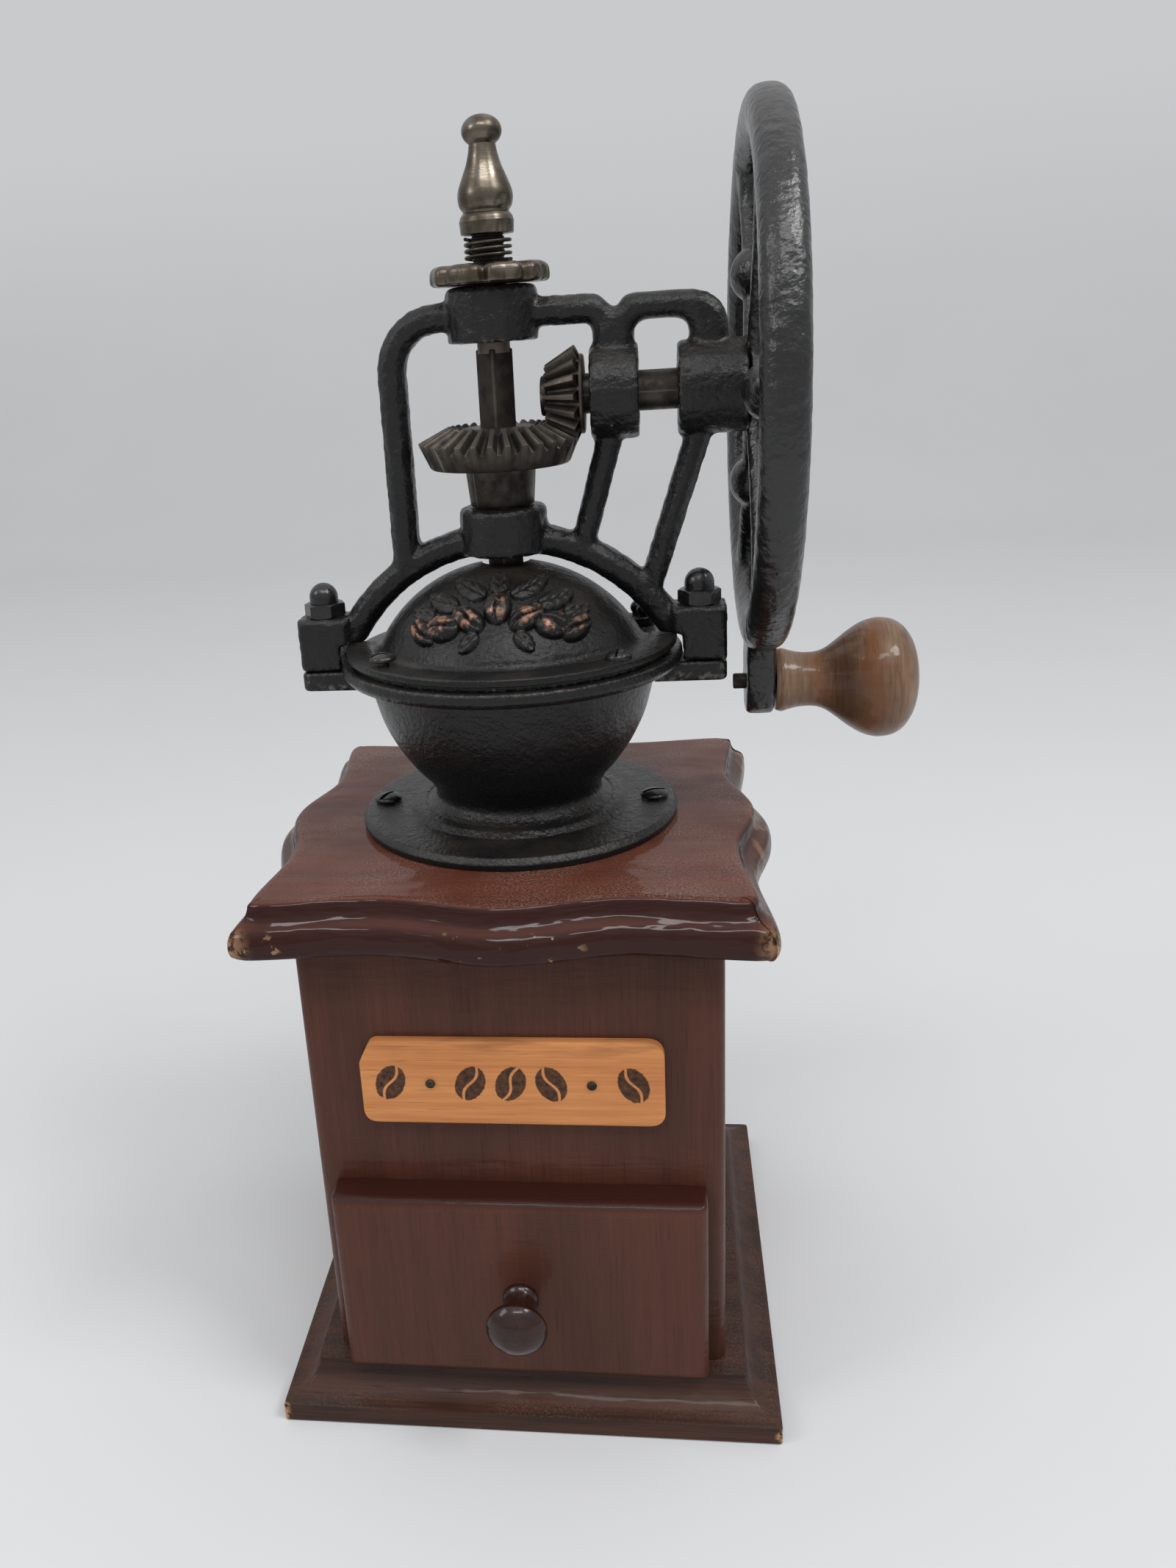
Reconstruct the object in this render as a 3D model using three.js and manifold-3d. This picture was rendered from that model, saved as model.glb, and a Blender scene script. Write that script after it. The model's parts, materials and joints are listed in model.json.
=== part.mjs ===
// Flywheel coffee mill: a wooden case with a drawer, an iron hopper with a domed cover, and an iron yoke
// that carries a bevel gear pair, an adjustable grinding spindle and a spoked hand wheel with a crank grip.
// Millimetres, +Z up. The origin is the centre of the base's underside, the drawer faces -Y, the wheel is at +X.
import * as THREE from "three";
import { mergeVertices } from "three/addons/utils/BufferGeometryUtils.js";
import Module from "manifold-3d";

const wasm = await Module();
wasm.setup();

// Wooden case
const BASE_LIP = 5.8;
const BASE_HEIGHT = 14.5;
const PLATEAU_MARGIN = 5.25;
const COVE_RUN = 9.25;
const CASE_SIDE = 111;
const CASE_HEIGHT = 131.5;
const CASE_WALL = 8;
const CASE_CORNER_RADIUS = 7;
const BOARD_OVERHANG = 12.6;
const BOARD_THICKNESS = 14.2;
const BOARD_LOBE = 3;
const BOARD_HOLLOW = 3;
const BOARD_TOP_INSET = 6.5;
const BOARD_HOLE_ROOM = 1.7;
const PLAQUE_WIDTH = 80;
const PLAQUE_HEIGHT = 25;
const PLAQUE_THICKNESS = 3;
const PLAQUE_ABOVE_DRAWER = 20;
const NAIL_HEAD_RADIUS = 1.7;
const NAIL_SHANK_RADIUS = 0.6;
const NAIL_LENGTH = 7;
const NAIL_HEAD_HEIGHT = 0.7;

// Drawer
const DRAWER_SIDE_ROOM = 2;
const DRAWER_BACK_ROOM = 7.3;
const DRAWER_SIDE_DROP = 7.7;
const DRAWER_WALL = 5;
const DRAWER_BOTTOM = 4;
const FRONT_MARGIN = 5;
const FRONT_HEIGHT = 57.5;
const FRONT_THICKNESS = 10;
const FRONT_LIFT = 1.5;
const FRONT_EDGE = 3;
const KNOB_RADIUS = 8.3;
const KNOB_NECK_RADIUS = 4.2;
const KNOB_LENGTH = 16.5;
const KNOB_DROP = 1.6;
const KNOB_SCREW_RADIUS = 1.6;
const KNOB_SCREW_HEAD_RADIUS = 3.4;
const KNOB_SCREW_HEAD = 1.6;

// Hopper and cover
const FLANGE_RADIUS = 45;
const FLANGE_THICKNESS = 3.5;
const FOOT_RING_RADIUS = 29.5;
const FOOT_RING_HEIGHT = 1.6;
const NECK_RADIUS = 23.6;
const NECK_HEIGHT = 3.7;
const BOWL_HEIGHT = 35.2;
const BOWL_RADIUS = 40;
const RIM_LIP = 7;
const RIM_HEIGHT = 3.8;
const HOPPER_WALL = 3;
const EAR_THICKNESS = 5.4;
const EAR_DEPTH = 13;
const EAR_END = 7.1;
const STUD_OUTSIDE_RIM = 4.5;
const STUD_RADIUS = 3;
const FLANGE_SCREW_MARGIN = 6.5;
const FLANGE_SCREW_RADIUS = 2;
const FLANGE_SCREW_HEAD_RADIUS = 4.1;
const FLANGE_SCREW_HEAD = 2.2;
const FLANGE_SCREW_LENGTH = 13;
const COVER_MARGIN = 3;
const COVER_THICKNESS = 1.4;
const COVER_HOLE_RADIUS = 30;
const DOME_RADIUS = 41;
const DOME_HEIGHT = 23.6;
const DOME_WALL = 1.8;
const DOME_HOLE_RADIUS = 6.5;
const SKIRT_MARGIN = 1.5;
const SKIRT_THICKNESS = 2;
const SKIRT_FILLET = 2.6;
const DOME_SCREW_MARGIN = 4.4;
const DOME_SCREW_TURN = 42.5;
const DOME_SCREW_RADIUS = 1.5;
const DOME_SCREW_HEAD_RADIUS = 3.4;
const DOME_SCREW_HEAD = 2.4;
const RELIEF_HEIGHT = 1.3;
const LID_TAB_WIDTH = 8;
const LID_TAB_MARGIN = 1;
const LID_TAB_THICKNESS = 3;
const LID_TAB_ANGLE = 24;
const LID_RIVET_RADIUS = 1.9;
const LID_GAP = 0.7;

// Burrs
const BURR_HEIGHT = 16;
const BURR_RING = 5.8;
const BURR_TAPER = 5;
const BURR_GAP = 2;
const BURR_TOOTH = 1.2;
const BURR_LEDGE = 2.4;
const BURR_WASHER_THICKNESS = 1.5;
const BURR_NUT_HEIGHT = 5;
const BURR_NUT_FLATS = 11;

// Yoke
const YOKE_DEPTH = 9;
const YOKE_BEVEL = 2.2;
const FOOT_WIDTH = 14.6;
const FOOT_HEIGHT = 14.9;
const ARCH_ROOM = 0.1;
const ARCH_BAND = 7.7;
const ARCH_CROWN_RISE = 0.4;
const POST_ROOM = 9.6;
const POST_WIDTH = 7.3;
const LOOP_OPENING = 5.3;
const TOP_BAR_BAND = 7.1;
const TOP_CORNER_RADIUS = 16.5;
const BOSS_RADIUS = 11.7;
const DOME_ROOM = 1.6;
const LOWER_BOSS_HEIGHT = 12.6;
const UPPER_BOSS_HANG = 10.1;
const UPPER_BOSS_HEIGHT = 13.5;
const NEAR_BOSS_LENGTH = 12.3;
const BOSS_SPACING = 9.8;
const FAR_BOSS_LENGTH = 17.3;
const LEG_WIDTH = 7;
const NEAR_LEG_LEAN = 7.8;
const FAR_LEG_LEAN = 12.6;

// Acorn nuts
const ACORN_FLATS = 10;
const ACORN_HEX_HEIGHT = 3.7;
const ACORN_HEIGHT = 9.2;
const ACORN_DOME_RADIUS = 3.95;

// Spindle, gear pair and adjuster
const SPINDLE_FLATS = 7;
const SPINDLE_ROD_RADIUS = 4.2;
const SPINDLE_TAIL_RADIUS = 3.4;
const SQUARE_SHORTFALL = 1.7;
const NUT_RADIUS = 15.2;
const NUT_THICKNESS = 4.8;
const NUT_LOBES = 8;
const NUT_NOTCH = 1.5;
const SPRING_HEIGHT = 6.8;
const SPRING_RADIUS = 5.6;
const SPRING_WIRE = 0.9;
const SPRING_TURNS = 3.5;
const FINIAL_HEIGHT = 27;
const FINIAL_RADIUS = 6.95;
const FINIAL_BALL_RADIUS = 4.9;
const GEAR_TEETH = 30;
const PINION_TEETH = 16;
const TOOTH_MODULE = 1.4;
const TOOTH_FACE = 9;
const TOOTH_BACKLASH = 0.22;
const GEAR_BACK_INSET = 2.8;
const GEAR_HUB_HEIGHT = 10.2;
const GEAR_HUB_RADIUS = 9.8;
const GEAR_HUB_FOOT_RADIUS = 8.4;
const GEAR_JOURNAL_RADIUS = 7;
const GEAR_PLATE = 5.5;
const PINION_COLLAR_RADIUS = 9.9;
const PINION_COLLAR_THICKNESS = 1.7;
const PINION_ROOM = 3.3;
const SHAFT_RADIUS = 5;
const SHAFT_NOSE = 1.5;

// Hand wheel and crank grip
const WHEEL_RADIUS = 67.2;
const RIM_WIDTH = 10.8;
const RIM_DEPTH = 11.8;
const HUB_INSTAND = 3.4;
const HUB_RADIUS = 11;
const HUB_OUTSTAND = 5.2;
const SPOKE_COUNT = 6;
const SPOKE_WIDTH = 9;
const SPOKE_THICKNESS = 5;
const SPOKE_FLARE = 16;
const BEAD_RADIUS = 7.2;
const BEAD_PLACE = 30;
const LUG_RADIUS = 9;
const LUG_THICKNESS = 7.6;
const CRANK_RADIUS = 77.6;
const WHEEL_NUT_FLATS = 13;
const WHEEL_NUT_HEIGHT = 4.6;
const WHEEL_WASHER_RADIUS = 9;
const WHEEL_WASHER_THICKNESS = 1.2;
const SHAFT_THREAD_RADIUS = 4;
const PIN_RADIUS = 2.1;
const PIN_OUTSTAND = 3.2;
const PIN_HEAD_RADIUS = 4.2;
const PIN_HEAD = 2;
const GRIP_LENGTH = 37;
const GRIP_NECK_RADIUS = 8.5;
const GRIP_WAIST_RADIUS = 7.4;
const GRIP_BULB_RADIUS = 16;
const GRIP_RECESS = 3.5;

// Clearances and cutting allowances
const SEAT_GAP = 0.3;
const RUNNING_GAP = 0.12;
const SLIDE_GAP = 0.5;
const OVERRUN = 2;
const EMBED = 1;

// Facets round a turned piece, from large to small
const FINE = 32;
const MEDIUM = 18;
const COARSE = 10;

// Heights that the sub-parts share
const caseTop = BASE_HEIGHT + CASE_HEIGHT;
const boardTop = caseTop + BOARD_THICKNESS;
const flangeTop = boardTop + FLANGE_THICKNESS;
const footRingTop = flangeTop + FOOT_RING_HEIGHT;
const neckTop = footRingTop + NECK_HEIGHT;
const rimBottom = neckTop + BOWL_HEIGHT;
const rimTop = rimBottom + RIM_HEIGHT;
const rimRadius = BOWL_RADIUS + RIM_LIP;
const studPlace = rimRadius + STUD_OUTSIDE_RIM;
const earReach = studPlace + EAR_END;
const coverTop = rimTop + COVER_THICKNESS;
const skirtTop = coverTop + SKIRT_THICKNESS;
const domeTop = coverTop + DOME_HEIGHT;
const domeCentre = domeTop - DOME_RADIUS;
const feetPlane = rimBottom;
const gearPitchRadius = (GEAR_TEETH * TOOTH_MODULE) / 2;
const pinionPitchRadius = (PINION_TEETH * TOOTH_MODULE) / 2;
const lowerBossBottom = domeTop + DOME_ROOM;
const lowerBossTop = lowerBossBottom + LOWER_BOSS_HEIGHT;
const gearBack = lowerBossTop + SEAT_GAP + GEAR_HUB_HEIGHT;
const shaftZ = gearBack + GEAR_PLATE + pinionPitchRadius;
const barTop = shaftZ + BOSS_RADIUS + LOOP_OPENING + TOP_BAR_BAND;
const upperBossBottom = barTop - UPPER_BOSS_HANG;
const upperBossTop = upperBossBottom + UPPER_BOSS_HEIGHT;
const nutBottom = upperBossTop + SEAT_GAP;
const nutTop = nutBottom + NUT_THICKNESS;
const finialBottom = nutTop + SPRING_HEIGHT;
const finialTop = finialBottom + FINIAL_HEIGHT;
const nearBossStart = gearPitchRadius + PINION_ROOM;
const nearBossEnd = nearBossStart + NEAR_BOSS_LENGTH;
const farBossStart = nearBossEnd + BOSS_SPACING;
const farBossEnd = farBossStart + FAR_BOSS_LENGTH;
const hubStart = farBossEnd + SEAT_GAP;
const wheelPlace = hubStart + HUB_INSTAND;
const caseHalf = CASE_SIDE / 2;
const caseInner = caseHalf - CASE_WALL;
const plateauHalf = caseHalf + PLATEAU_MARGIN;
const baseHalf = plateauHalf + COVE_RUN;
const boardHalf = caseHalf + BOARD_OVERHANG;
const frontBack = -caseHalf - SEAT_GAP;
const frontFace = frontBack - FRONT_THICKNESS;
const frontTop = BASE_HEIGHT + FRONT_LIFT + FRONT_HEIGHT;
const drawerMiddle = frontTop - FRONT_HEIGHT / 2;
const knobPlace = drawerMiddle - KNOB_DROP;
const drawerFloor = BASE_HEIGHT + SEAT_GAP;
const drawerTop = frontTop - DRAWER_SIDE_DROP;
const drawerHalf = caseInner - DRAWER_SIDE_ROOM;
const drawerBackEdge = caseInner - DRAWER_BACK_ROOM;
const squareTop = upperBossBottom - SQUARE_SHORTFALL;
const outerBurrRadius = NECK_RADIUS - HOPPER_WALL - SEAT_GAP;
const burrBottomRadius = outerBurrRadius - BURR_RING;
const burrTopRadius = burrBottomRadius - BURR_TAPER;
const burrTop = neckTop - BURR_LEDGE;
const burrBottom = burrTop - BURR_HEIGHT;

// Solids
const dropIndexed = (indices) => {
  const kept = [];
  for (let i = 0; i < indices.length; i += 3) {
    const [a, b, c] = [indices[i], indices[i + 1], indices[i + 2]];
    if (a !== b && b !== c && c !== a) kept.push(a, b, c);
  }
  return kept;
};

const WELD = 1e-4;

function solidOf(geometry) {
  const bare = new THREE.BufferGeometry();
  bare.setAttribute("position", geometry.getAttribute("position"));
  if (geometry.index) bare.setIndex(geometry.index);
  const merged = mergeVertices(bare, WELD);
  const vertProperties = new Float32Array(merged.attributes.position.array);
  const triVerts = new Uint32Array(dropIndexed(merged.index.array));
  const solid = new wasm.Manifold(new wasm.Mesh({ numProp: 3, vertProperties, triVerts }));
  if (solid.volume() >= 0) return solid;
  for (let i = 0; i < triVerts.length; i += 3) triVerts.subarray(i, i + 2).reverse();
  return new wasm.Manifold(new wasm.Mesh({ numProp: 3, vertProperties, triVerts }));
}

function geometryOf(solid) {
  const mesh = solid.getMesh();
  const geometry = new THREE.BufferGeometry();
  geometry.setAttribute("position", new THREE.BufferAttribute(new Float32Array(mesh.vertProperties), 3));
  geometry.setIndex(new THREE.BufferAttribute(new Uint32Array(mesh.triVerts), 1));
  const flat = geometry.toNonIndexed();
  flat.computeVertexNormals();
  return flat;
}

const join = (...geometries) => geometryOf(geometries.map(solidOf).reduce((a, b) => a.add(b)));
const cut = (geometry, ...tools) => geometryOf(tools.map(solidOf).reduce((a, b) => a.subtract(b), solidOf(geometry)));
const common = (a, b) => geometryOf(solidOf(a).intersect(solidOf(b)));

// A closed surface through rings of points, capped by a fan at each end.
function loft(rings) {
  const positions = [];
  const count = rings[0].length;
  const push = (...points) => points.forEach((p) => positions.push(p.x, p.y, p.z));
  for (let k = 0; k + 1 < rings.length; k++)
    for (let i = 0; i < count; i++) {
      const j = (i + 1) % count;
      push(rings[k][i], rings[k][j], rings[k + 1][j]);
      push(rings[k][i], rings[k + 1][j], rings[k + 1][i]);
    }
  const middle = (ring) => ring.reduce((sum, p) => sum.add(p), new THREE.Vector3()).divideScalar(count);
  const low = middle(rings[0]);
  const high = middle(rings[rings.length - 1]);
  for (let i = 0; i < count; i++) {
    const j = (i + 1) % count;
    push(rings[0][j], rings[0][i], low);
    push(rings[rings.length - 1][i], rings[rings.length - 1][j], high);
  }
  const geometry = new THREE.BufferGeometry();
  geometry.setAttribute("position", new THREE.Float32BufferAttribute(positions, 3));
  return geometryOf(solidOf(geometry));
}

// A box from its lowest to its highest corner.
function block(x0, x1, y0, y1, z0, z1) {
  const box = new THREE.BoxGeometry(x1 - x0, y1 - y0, z1 - z0);
  return box.translate((x0 + x1) / 2, (y0 + y1) / 2, (z0 + z1) / 2);
}

// A piece turned about Z from a closed profile of [radius, height].
function turned(profile, segments = FINE) {
  const points = profile.map(([r, z]) => new THREE.Vector2(Math.max(r, 0), z));
  points.push(points[0].clone());
  const geometry = new THREE.LatheGeometry(points, segments);
  geometry.rotateX(Math.PI / 2);
  return geometryOf(solidOf(geometry));
}

const rod = (radius, z0, z1, segments = COARSE) =>
  turned([[0, z0], [radius, z0], [radius, z1], [0, z1]], segments);

// A tool for a hole whose flat sides stay outside the wanted radius.
const drill = (radius, z0, z1, segments = COARSE) =>
  rod(radius / Math.cos(Math.PI / segments), z0, z1, segments);

// Turns a piece made about Z onto the X axis, so that its height becomes its place along X.
const alongX = (geometry) => geometry.rotateY(Math.PI / 2);
// Turns a piece made about Z to point out of the drawer, so that its height runs towards -Y.
const towardsFront = (geometry) => geometry.rotateX(Math.PI / 2);

// A flat outline in X and Z, extruded through the yoke's depth about Y = 0 with bevelled edges.
function upright(shape, depth = YOKE_DEPTH, bevel = YOKE_BEVEL) {
  const geometry = new THREE.ExtrudeGeometry(shape, {
    depth: depth - 2 * bevel,
    bevelEnabled: true,
    bevelThickness: bevel,
    bevelSize: bevel,
    bevelOffset: -bevel,
    bevelSegments: 1,
    curveSegments: 9,
  });
  geometry.translate(0, 0, bevel - depth / 2);
  return geometryOf(solidOf(geometry.rotateX(Math.PI / 2)));
}

const outline = (points) => new THREE.Shape(points.map(([x, y]) => new THREE.Vector2(x, y)));

// A flat outline in X and Y, extruded upwards from a height, with an optional bevel on both edges.
function plate(shape, z0, thickness, bevel = 0, bevelSegments = 2, curveSegments = 8) {
  const geometry = new THREE.ExtrudeGeometry(shape, {
    depth: thickness - 2 * bevel,
    bevelEnabled: bevel > 0,
    bevelThickness: bevel,
    bevelSize: bevel,
    bevelOffset: -bevel,
    bevelSegments,
    curveSegments,
  });
  return geometryOf(solidOf(geometry.translate(0, 0, z0 + bevel)));
}

function roundedRectangle(x0, x1, y0, y1, radii) {
  const [r0, r1, r2, r3] = radii;
  const shape = new THREE.Shape();
  shape.moveTo(x0 + r0, y0);
  shape.lineTo(x1 - r1, y0);
  if (r1) shape.absarc(x1 - r1, y0 + r1, r1, -Math.PI / 2, 0);
  shape.lineTo(x1, y1 - r2);
  if (r2) shape.absarc(x1 - r2, y1 - r2, r2, 0, Math.PI / 2);
  shape.lineTo(x0 + r3, y1);
  if (r3) shape.absarc(x0 + r3, y1 - r3, r3, Math.PI / 2, Math.PI);
  shape.lineTo(x0, y0 + r0);
  if (r0) shape.absarc(x0 + r0, y0 + r0, r0, Math.PI, 1.5 * Math.PI);
  return shape;
}

function hexagon(flats, z0, height) {
  const corner = flats / Math.sqrt(3);
  const hex = new THREE.CylinderGeometry(corner, corner, height, 6);
  return hex.rotateX(Math.PI / 2).translate(0, 0, z0 + height / 2);
}

// Materials
const finish = (color, roughness, metalness = 0) => new THREE.MeshStandardMaterial({ color, roughness, metalness });
const finishes = {
  wood: finish(0x4b2d28, 0.45),
  boardWood: finish(0x6e4137, 0.4),
  baseWood: finish(0x40332e, 0.6),
  plaqueWood: finish(0xbe8250, 0.6),
  drawerWood: finish(0x9a7650, 0.7),
  knobWood: finish(0x3a201a, 0.25),
  gripWood: finish(0x966e50, 0.5),
  iron: finish(0x2a2a2a, 0.55, 0.8),
  wheelIron: finish(0x3a3a3c, 0.4, 0.8),
  bronze: finish(0x4a3d2e, 0.45, 0.9),
  brass: finish(0x8a7448, 0.3, 1),
  steel: finish(0x77746e, 0.4, 0.9),
};

const mill = new THREE.Group();

function add(name, geometry, material, group = mill) {
  const mesh = new THREE.Mesh(geometry, material);
  mesh.name = name;
  group.add(mesh);
  return mesh;
}

// Base board: an upright lip, a hollow cove and the flat plateau that the case stands on
const COVE_STEPS = 6;

function baseBoard() {
  const rise = BASE_HEIGHT - BASE_LIP;
  const square = (side, z) =>
    [[-1, -1], [1, -1], [1, 1], [-1, 1]].map(([x, y]) => new THREE.Vector3(x * side, y * side, z));
  const rings = [square(baseHalf, 0), square(baseHalf, BASE_LIP)];
  for (let i = 1; i <= COVE_STEPS; i++) {
    const turn = (i / COVE_STEPS) * (Math.PI / 2);
    rings.push(square(baseHalf - COVE_RUN * Math.sin(turn), BASE_LIP + rise * (1 - Math.cos(turn))));
  }
  return loft(rings);
}

// Case walls: the front and back boards span the width and carry the rounded corners
const drawerOpening = drawerHalf + SLIDE_GAP;
const openingTop = drawerTop + SLIDE_GAP;
const plaqueMiddle = frontTop + PLAQUE_ABOVE_DRAWER + PLAQUE_HEIGHT / 2;
const nailPlace = (PLAQUE_WIDTH * 0.53) / 2;

function nailHole(x) {
  const hole = drill(NAIL_SHANK_RADIUS + RUNNING_GAP, -NAIL_LENGTH - OVERRUN, NAIL_LENGTH + OVERRUN);
  return towardsFront(hole).translate(x, -caseHalf, plaqueMiddle);
}

function caseFront() {
  const r = CASE_CORNER_RADIUS;
  const shape = roundedRectangle(-caseHalf, caseHalf, -caseHalf, -caseInner, [r, r, 0, 0]);
  const board = plate(shape, BASE_HEIGHT, CASE_HEIGHT);
  const opening = block(
    -drawerOpening,
    drawerOpening,
    -caseHalf - OVERRUN,
    -caseInner + OVERRUN,
    BASE_HEIGHT - OVERRUN,
    openingTop,
  );
  return cut(board, opening, nailHole(-nailPlace), nailHole(nailPlace));
}

function caseBack() {
  const r = CASE_CORNER_RADIUS;
  const shape = roundedRectangle(-caseHalf, caseHalf, caseInner, caseHalf, [0, 0, r, r]);
  return plate(shape, BASE_HEIGHT, CASE_HEIGHT);
}

const caseWall = (side) =>
  side < 0
    ? block(-caseHalf, -caseInner, -caseInner, caseInner, BASE_HEIGHT, caseTop)
    : block(caseInner, caseHalf, -caseInner, caseInner, BASE_HEIGHT, caseTop);

// Top board: each side has a lobe between two hollows, and the edge is moulded
const SIDE_POINTS = 14;
const HOLLOW_PLACE_SHARE = 0.48;
// Inset from the widest line and height, as shares of the top's inset and of the board's thickness
const BOARD_EDGE_SHARES = [
  [0.42, 0],
  [0, 0.28],
  [0.08, 0.48],
  [0.6, 0.7],
  [0.72, 0.93],
  [1.04, 1],
];

function sideStandout(s) {
  const place = Math.abs(s);
  const lobe = BOARD_LOBE;
  const hollow = -BOARD_HOLLOW;
  const wave = (from, to, share) => from + ((to - from) * (1 - Math.cos(Math.PI * share))) / 2;
  return place < HOLLOW_PLACE_SHARE
    ? wave(lobe, hollow, place / HOLLOW_PLACE_SHARE)
    : wave(hollow, 0, (place - HOLLOW_PLACE_SHARE) / (1 - HOLLOW_PLACE_SHARE) / 2) * 2 + BOARD_HOLLOW;
}

function boardRing(inset, z) {
  const ring = [];
  for (let side = 0; side < 4; side++)
    for (let i = 0; i < SIDE_POINTS; i++) {
      const s = (2 * i) / SIDE_POINTS - 1;
      const reach = boardHalf - inset;
      const p = new THREE.Vector3(s * reach, -(reach + sideStandout(s)), z);
      ring.push(p.applyAxisAngle(new THREE.Vector3(0, 0, 1), (side * Math.PI) / 2));
    }
  return ring;
}

function topBoard() {
  const rings = BOARD_EDGE_SHARES.map(([inset, height]) =>
    boardRing(inset * BOARD_TOP_INSET, caseTop + height * BOARD_THICKNESS),
  );
  const hole = drill(outerBurrRadius + BOARD_HOLE_ROOM, caseTop - OVERRUN, boardTop + OVERRUN, MEDIUM);
  return cut(loft(rings), hole, flangeScrewHole(-1), flangeScrewHole(1));
}

const flangeScrewPlace = FLANGE_RADIUS - FLANGE_SCREW_MARGIN;

function flangeScrewHole(side) {
  const hole = drill(FLANGE_SCREW_RADIUS + RUNNING_GAP, flangeTop - FLANGE_SCREW_LENGTH - SEAT_GAP, flangeTop + OVERRUN);
  return hole.translate(side * flangeScrewPlace, 0, 0);
}

// Plaque: a bare board with clipped, rounded ends, held by two nails
const PLAQUE_CLIP_SHARE = 0.36;
const PLAQUE_END_SHARE = 0.07;

function plaque() {
  const half = PLAQUE_WIDTH / 2;
  const high = PLAQUE_HEIGHT / 2;
  const clip = PLAQUE_HEIGHT * PLAQUE_CLIP_SHARE;
  const end = PLAQUE_WIDTH * PLAQUE_END_SHARE;
  const shape = new THREE.Shape();
  shape.moveTo(-half + end, -high);
  shape.lineTo(half - end, -high);
  shape.quadraticCurveTo(half, -high, half, -high + clip);
  shape.lineTo(half, high - clip);
  shape.quadraticCurveTo(half, high, half - end, high);
  shape.lineTo(-half + end, high);
  shape.quadraticCurveTo(-half, high, -half, high - clip);
  shape.lineTo(-half, -high + clip);
  shape.quadraticCurveTo(-half, -high, -half + end, -high);
  const board = towardsFront(plate(shape, 0, PLAQUE_THICKNESS, PLAQUE_THICKNESS / 5));
  board.translate(0, -caseHalf, plaqueMiddle);
  return cut(board, nailHole(-nailPlace), nailHole(nailPlace));
}

function nail(x) {
  const profile = [
    [0, -NAIL_LENGTH],
    [NAIL_SHANK_RADIUS, -NAIL_LENGTH + NAIL_SHANK_RADIUS],
    [NAIL_SHANK_RADIUS, 0],
    [NAIL_HEAD_RADIUS, 0],
    [NAIL_HEAD_RADIUS * 0.7, NAIL_HEAD_HEIGHT * 0.8],
    [0, NAIL_HEAD_HEIGHT],
  ];
  return towardsFront(turned(profile, COARSE)).translate(x, -caseHalf - PLAQUE_THICKNESS, plaqueMiddle);
}

// Drawer
function drawerFront() {
  const half = caseHalf - FRONT_MARGIN;
  const high = FRONT_HEIGHT / 2;
  const shape = outline([
    [-half, -high],
    [half, -high],
    [half, high],
    [-half, high],
  ]);
  const geometry = new THREE.ExtrudeGeometry(shape, {
    depth: FRONT_THICKNESS - FRONT_EDGE,
    bevelEnabled: true,
    bevelThickness: FRONT_EDGE,
    bevelSize: FRONT_EDGE,
    bevelOffset: -FRONT_EDGE,
    bevelSegments: 3,
    curveSegments: 3,
  });
  const full = towardsFront(geometryOf(solidOf(geometry)));
  full.translate(0, frontBack, drawerMiddle);
  const kept = block(-half, half, frontFace, frontBack, drawerMiddle - high, drawerMiddle + high);
  const hole = towardsFront(drill(KNOB_SCREW_RADIUS + RUNNING_GAP, -OVERRUN, FRONT_THICKNESS + OVERRUN));
  return cut(common(full, kept), hole.translate(0, frontBack, knobPlace));
}

const drawerSide = (side) => {
  const outer = side * drawerHalf;
  const inner = side * (drawerHalf - DRAWER_WALL);
  return block(Math.min(outer, inner), Math.max(outer, inner), frontBack, drawerBackEdge, drawerFloor, drawerTop);
};

const drawerBack = () =>
  block(
    -drawerHalf + DRAWER_WALL,
    drawerHalf - DRAWER_WALL,
    drawerBackEdge - DRAWER_WALL,
    drawerBackEdge,
    drawerFloor,
    drawerTop,
  );

const drawerBottom = () =>
  block(
    -drawerHalf + DRAWER_WALL,
    drawerHalf - DRAWER_WALL,
    frontBack,
    drawerBackEdge - DRAWER_WALL,
    drawerFloor,
    drawerFloor + DRAWER_BOTTOM,
  );

const knobHoleDepth = KNOB_LENGTH * 0.65;

function drawerKnob() {
  const hole = KNOB_SCREW_RADIUS + RUNNING_GAP;
  const profile = [
    [hole, 0],
    [KNOB_NECK_RADIUS * 1.25, 0],
    [KNOB_NECK_RADIUS, KNOB_LENGTH * 0.16],
    [KNOB_NECK_RADIUS, KNOB_LENGTH * 0.36],
    [KNOB_RADIUS * 0.8, KNOB_LENGTH * 0.5],
    [KNOB_RADIUS, KNOB_LENGTH * 0.64],
    [KNOB_RADIUS * 0.97, KNOB_LENGTH * 0.8],
    [KNOB_RADIUS * 0.6, KNOB_LENGTH * 0.95],
    [0, KNOB_LENGTH],
    [0, knobHoleDepth],
    [hole, knobHoleDepth],
  ];
  return towardsFront(turned(profile, MEDIUM)).translate(0, frontFace, knobPlace);
}

function knobScrew() {
  const tip = FRONT_THICKNESS + knobHoleDepth - SEAT_GAP;
  const profile = [
    [0, -KNOB_SCREW_HEAD],
    [KNOB_SCREW_HEAD_RADIUS * 0.7, -KNOB_SCREW_HEAD],
    [KNOB_SCREW_HEAD_RADIUS, -KNOB_SCREW_HEAD * 0.4],
    [KNOB_SCREW_HEAD_RADIUS, 0],
    [KNOB_SCREW_RADIUS, 0],
    [KNOB_SCREW_RADIUS, tip],
    [0, tip],
  ];
  return towardsFront(turned(profile, COARSE)).translate(0, frontBack, knobPlace);
}

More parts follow.
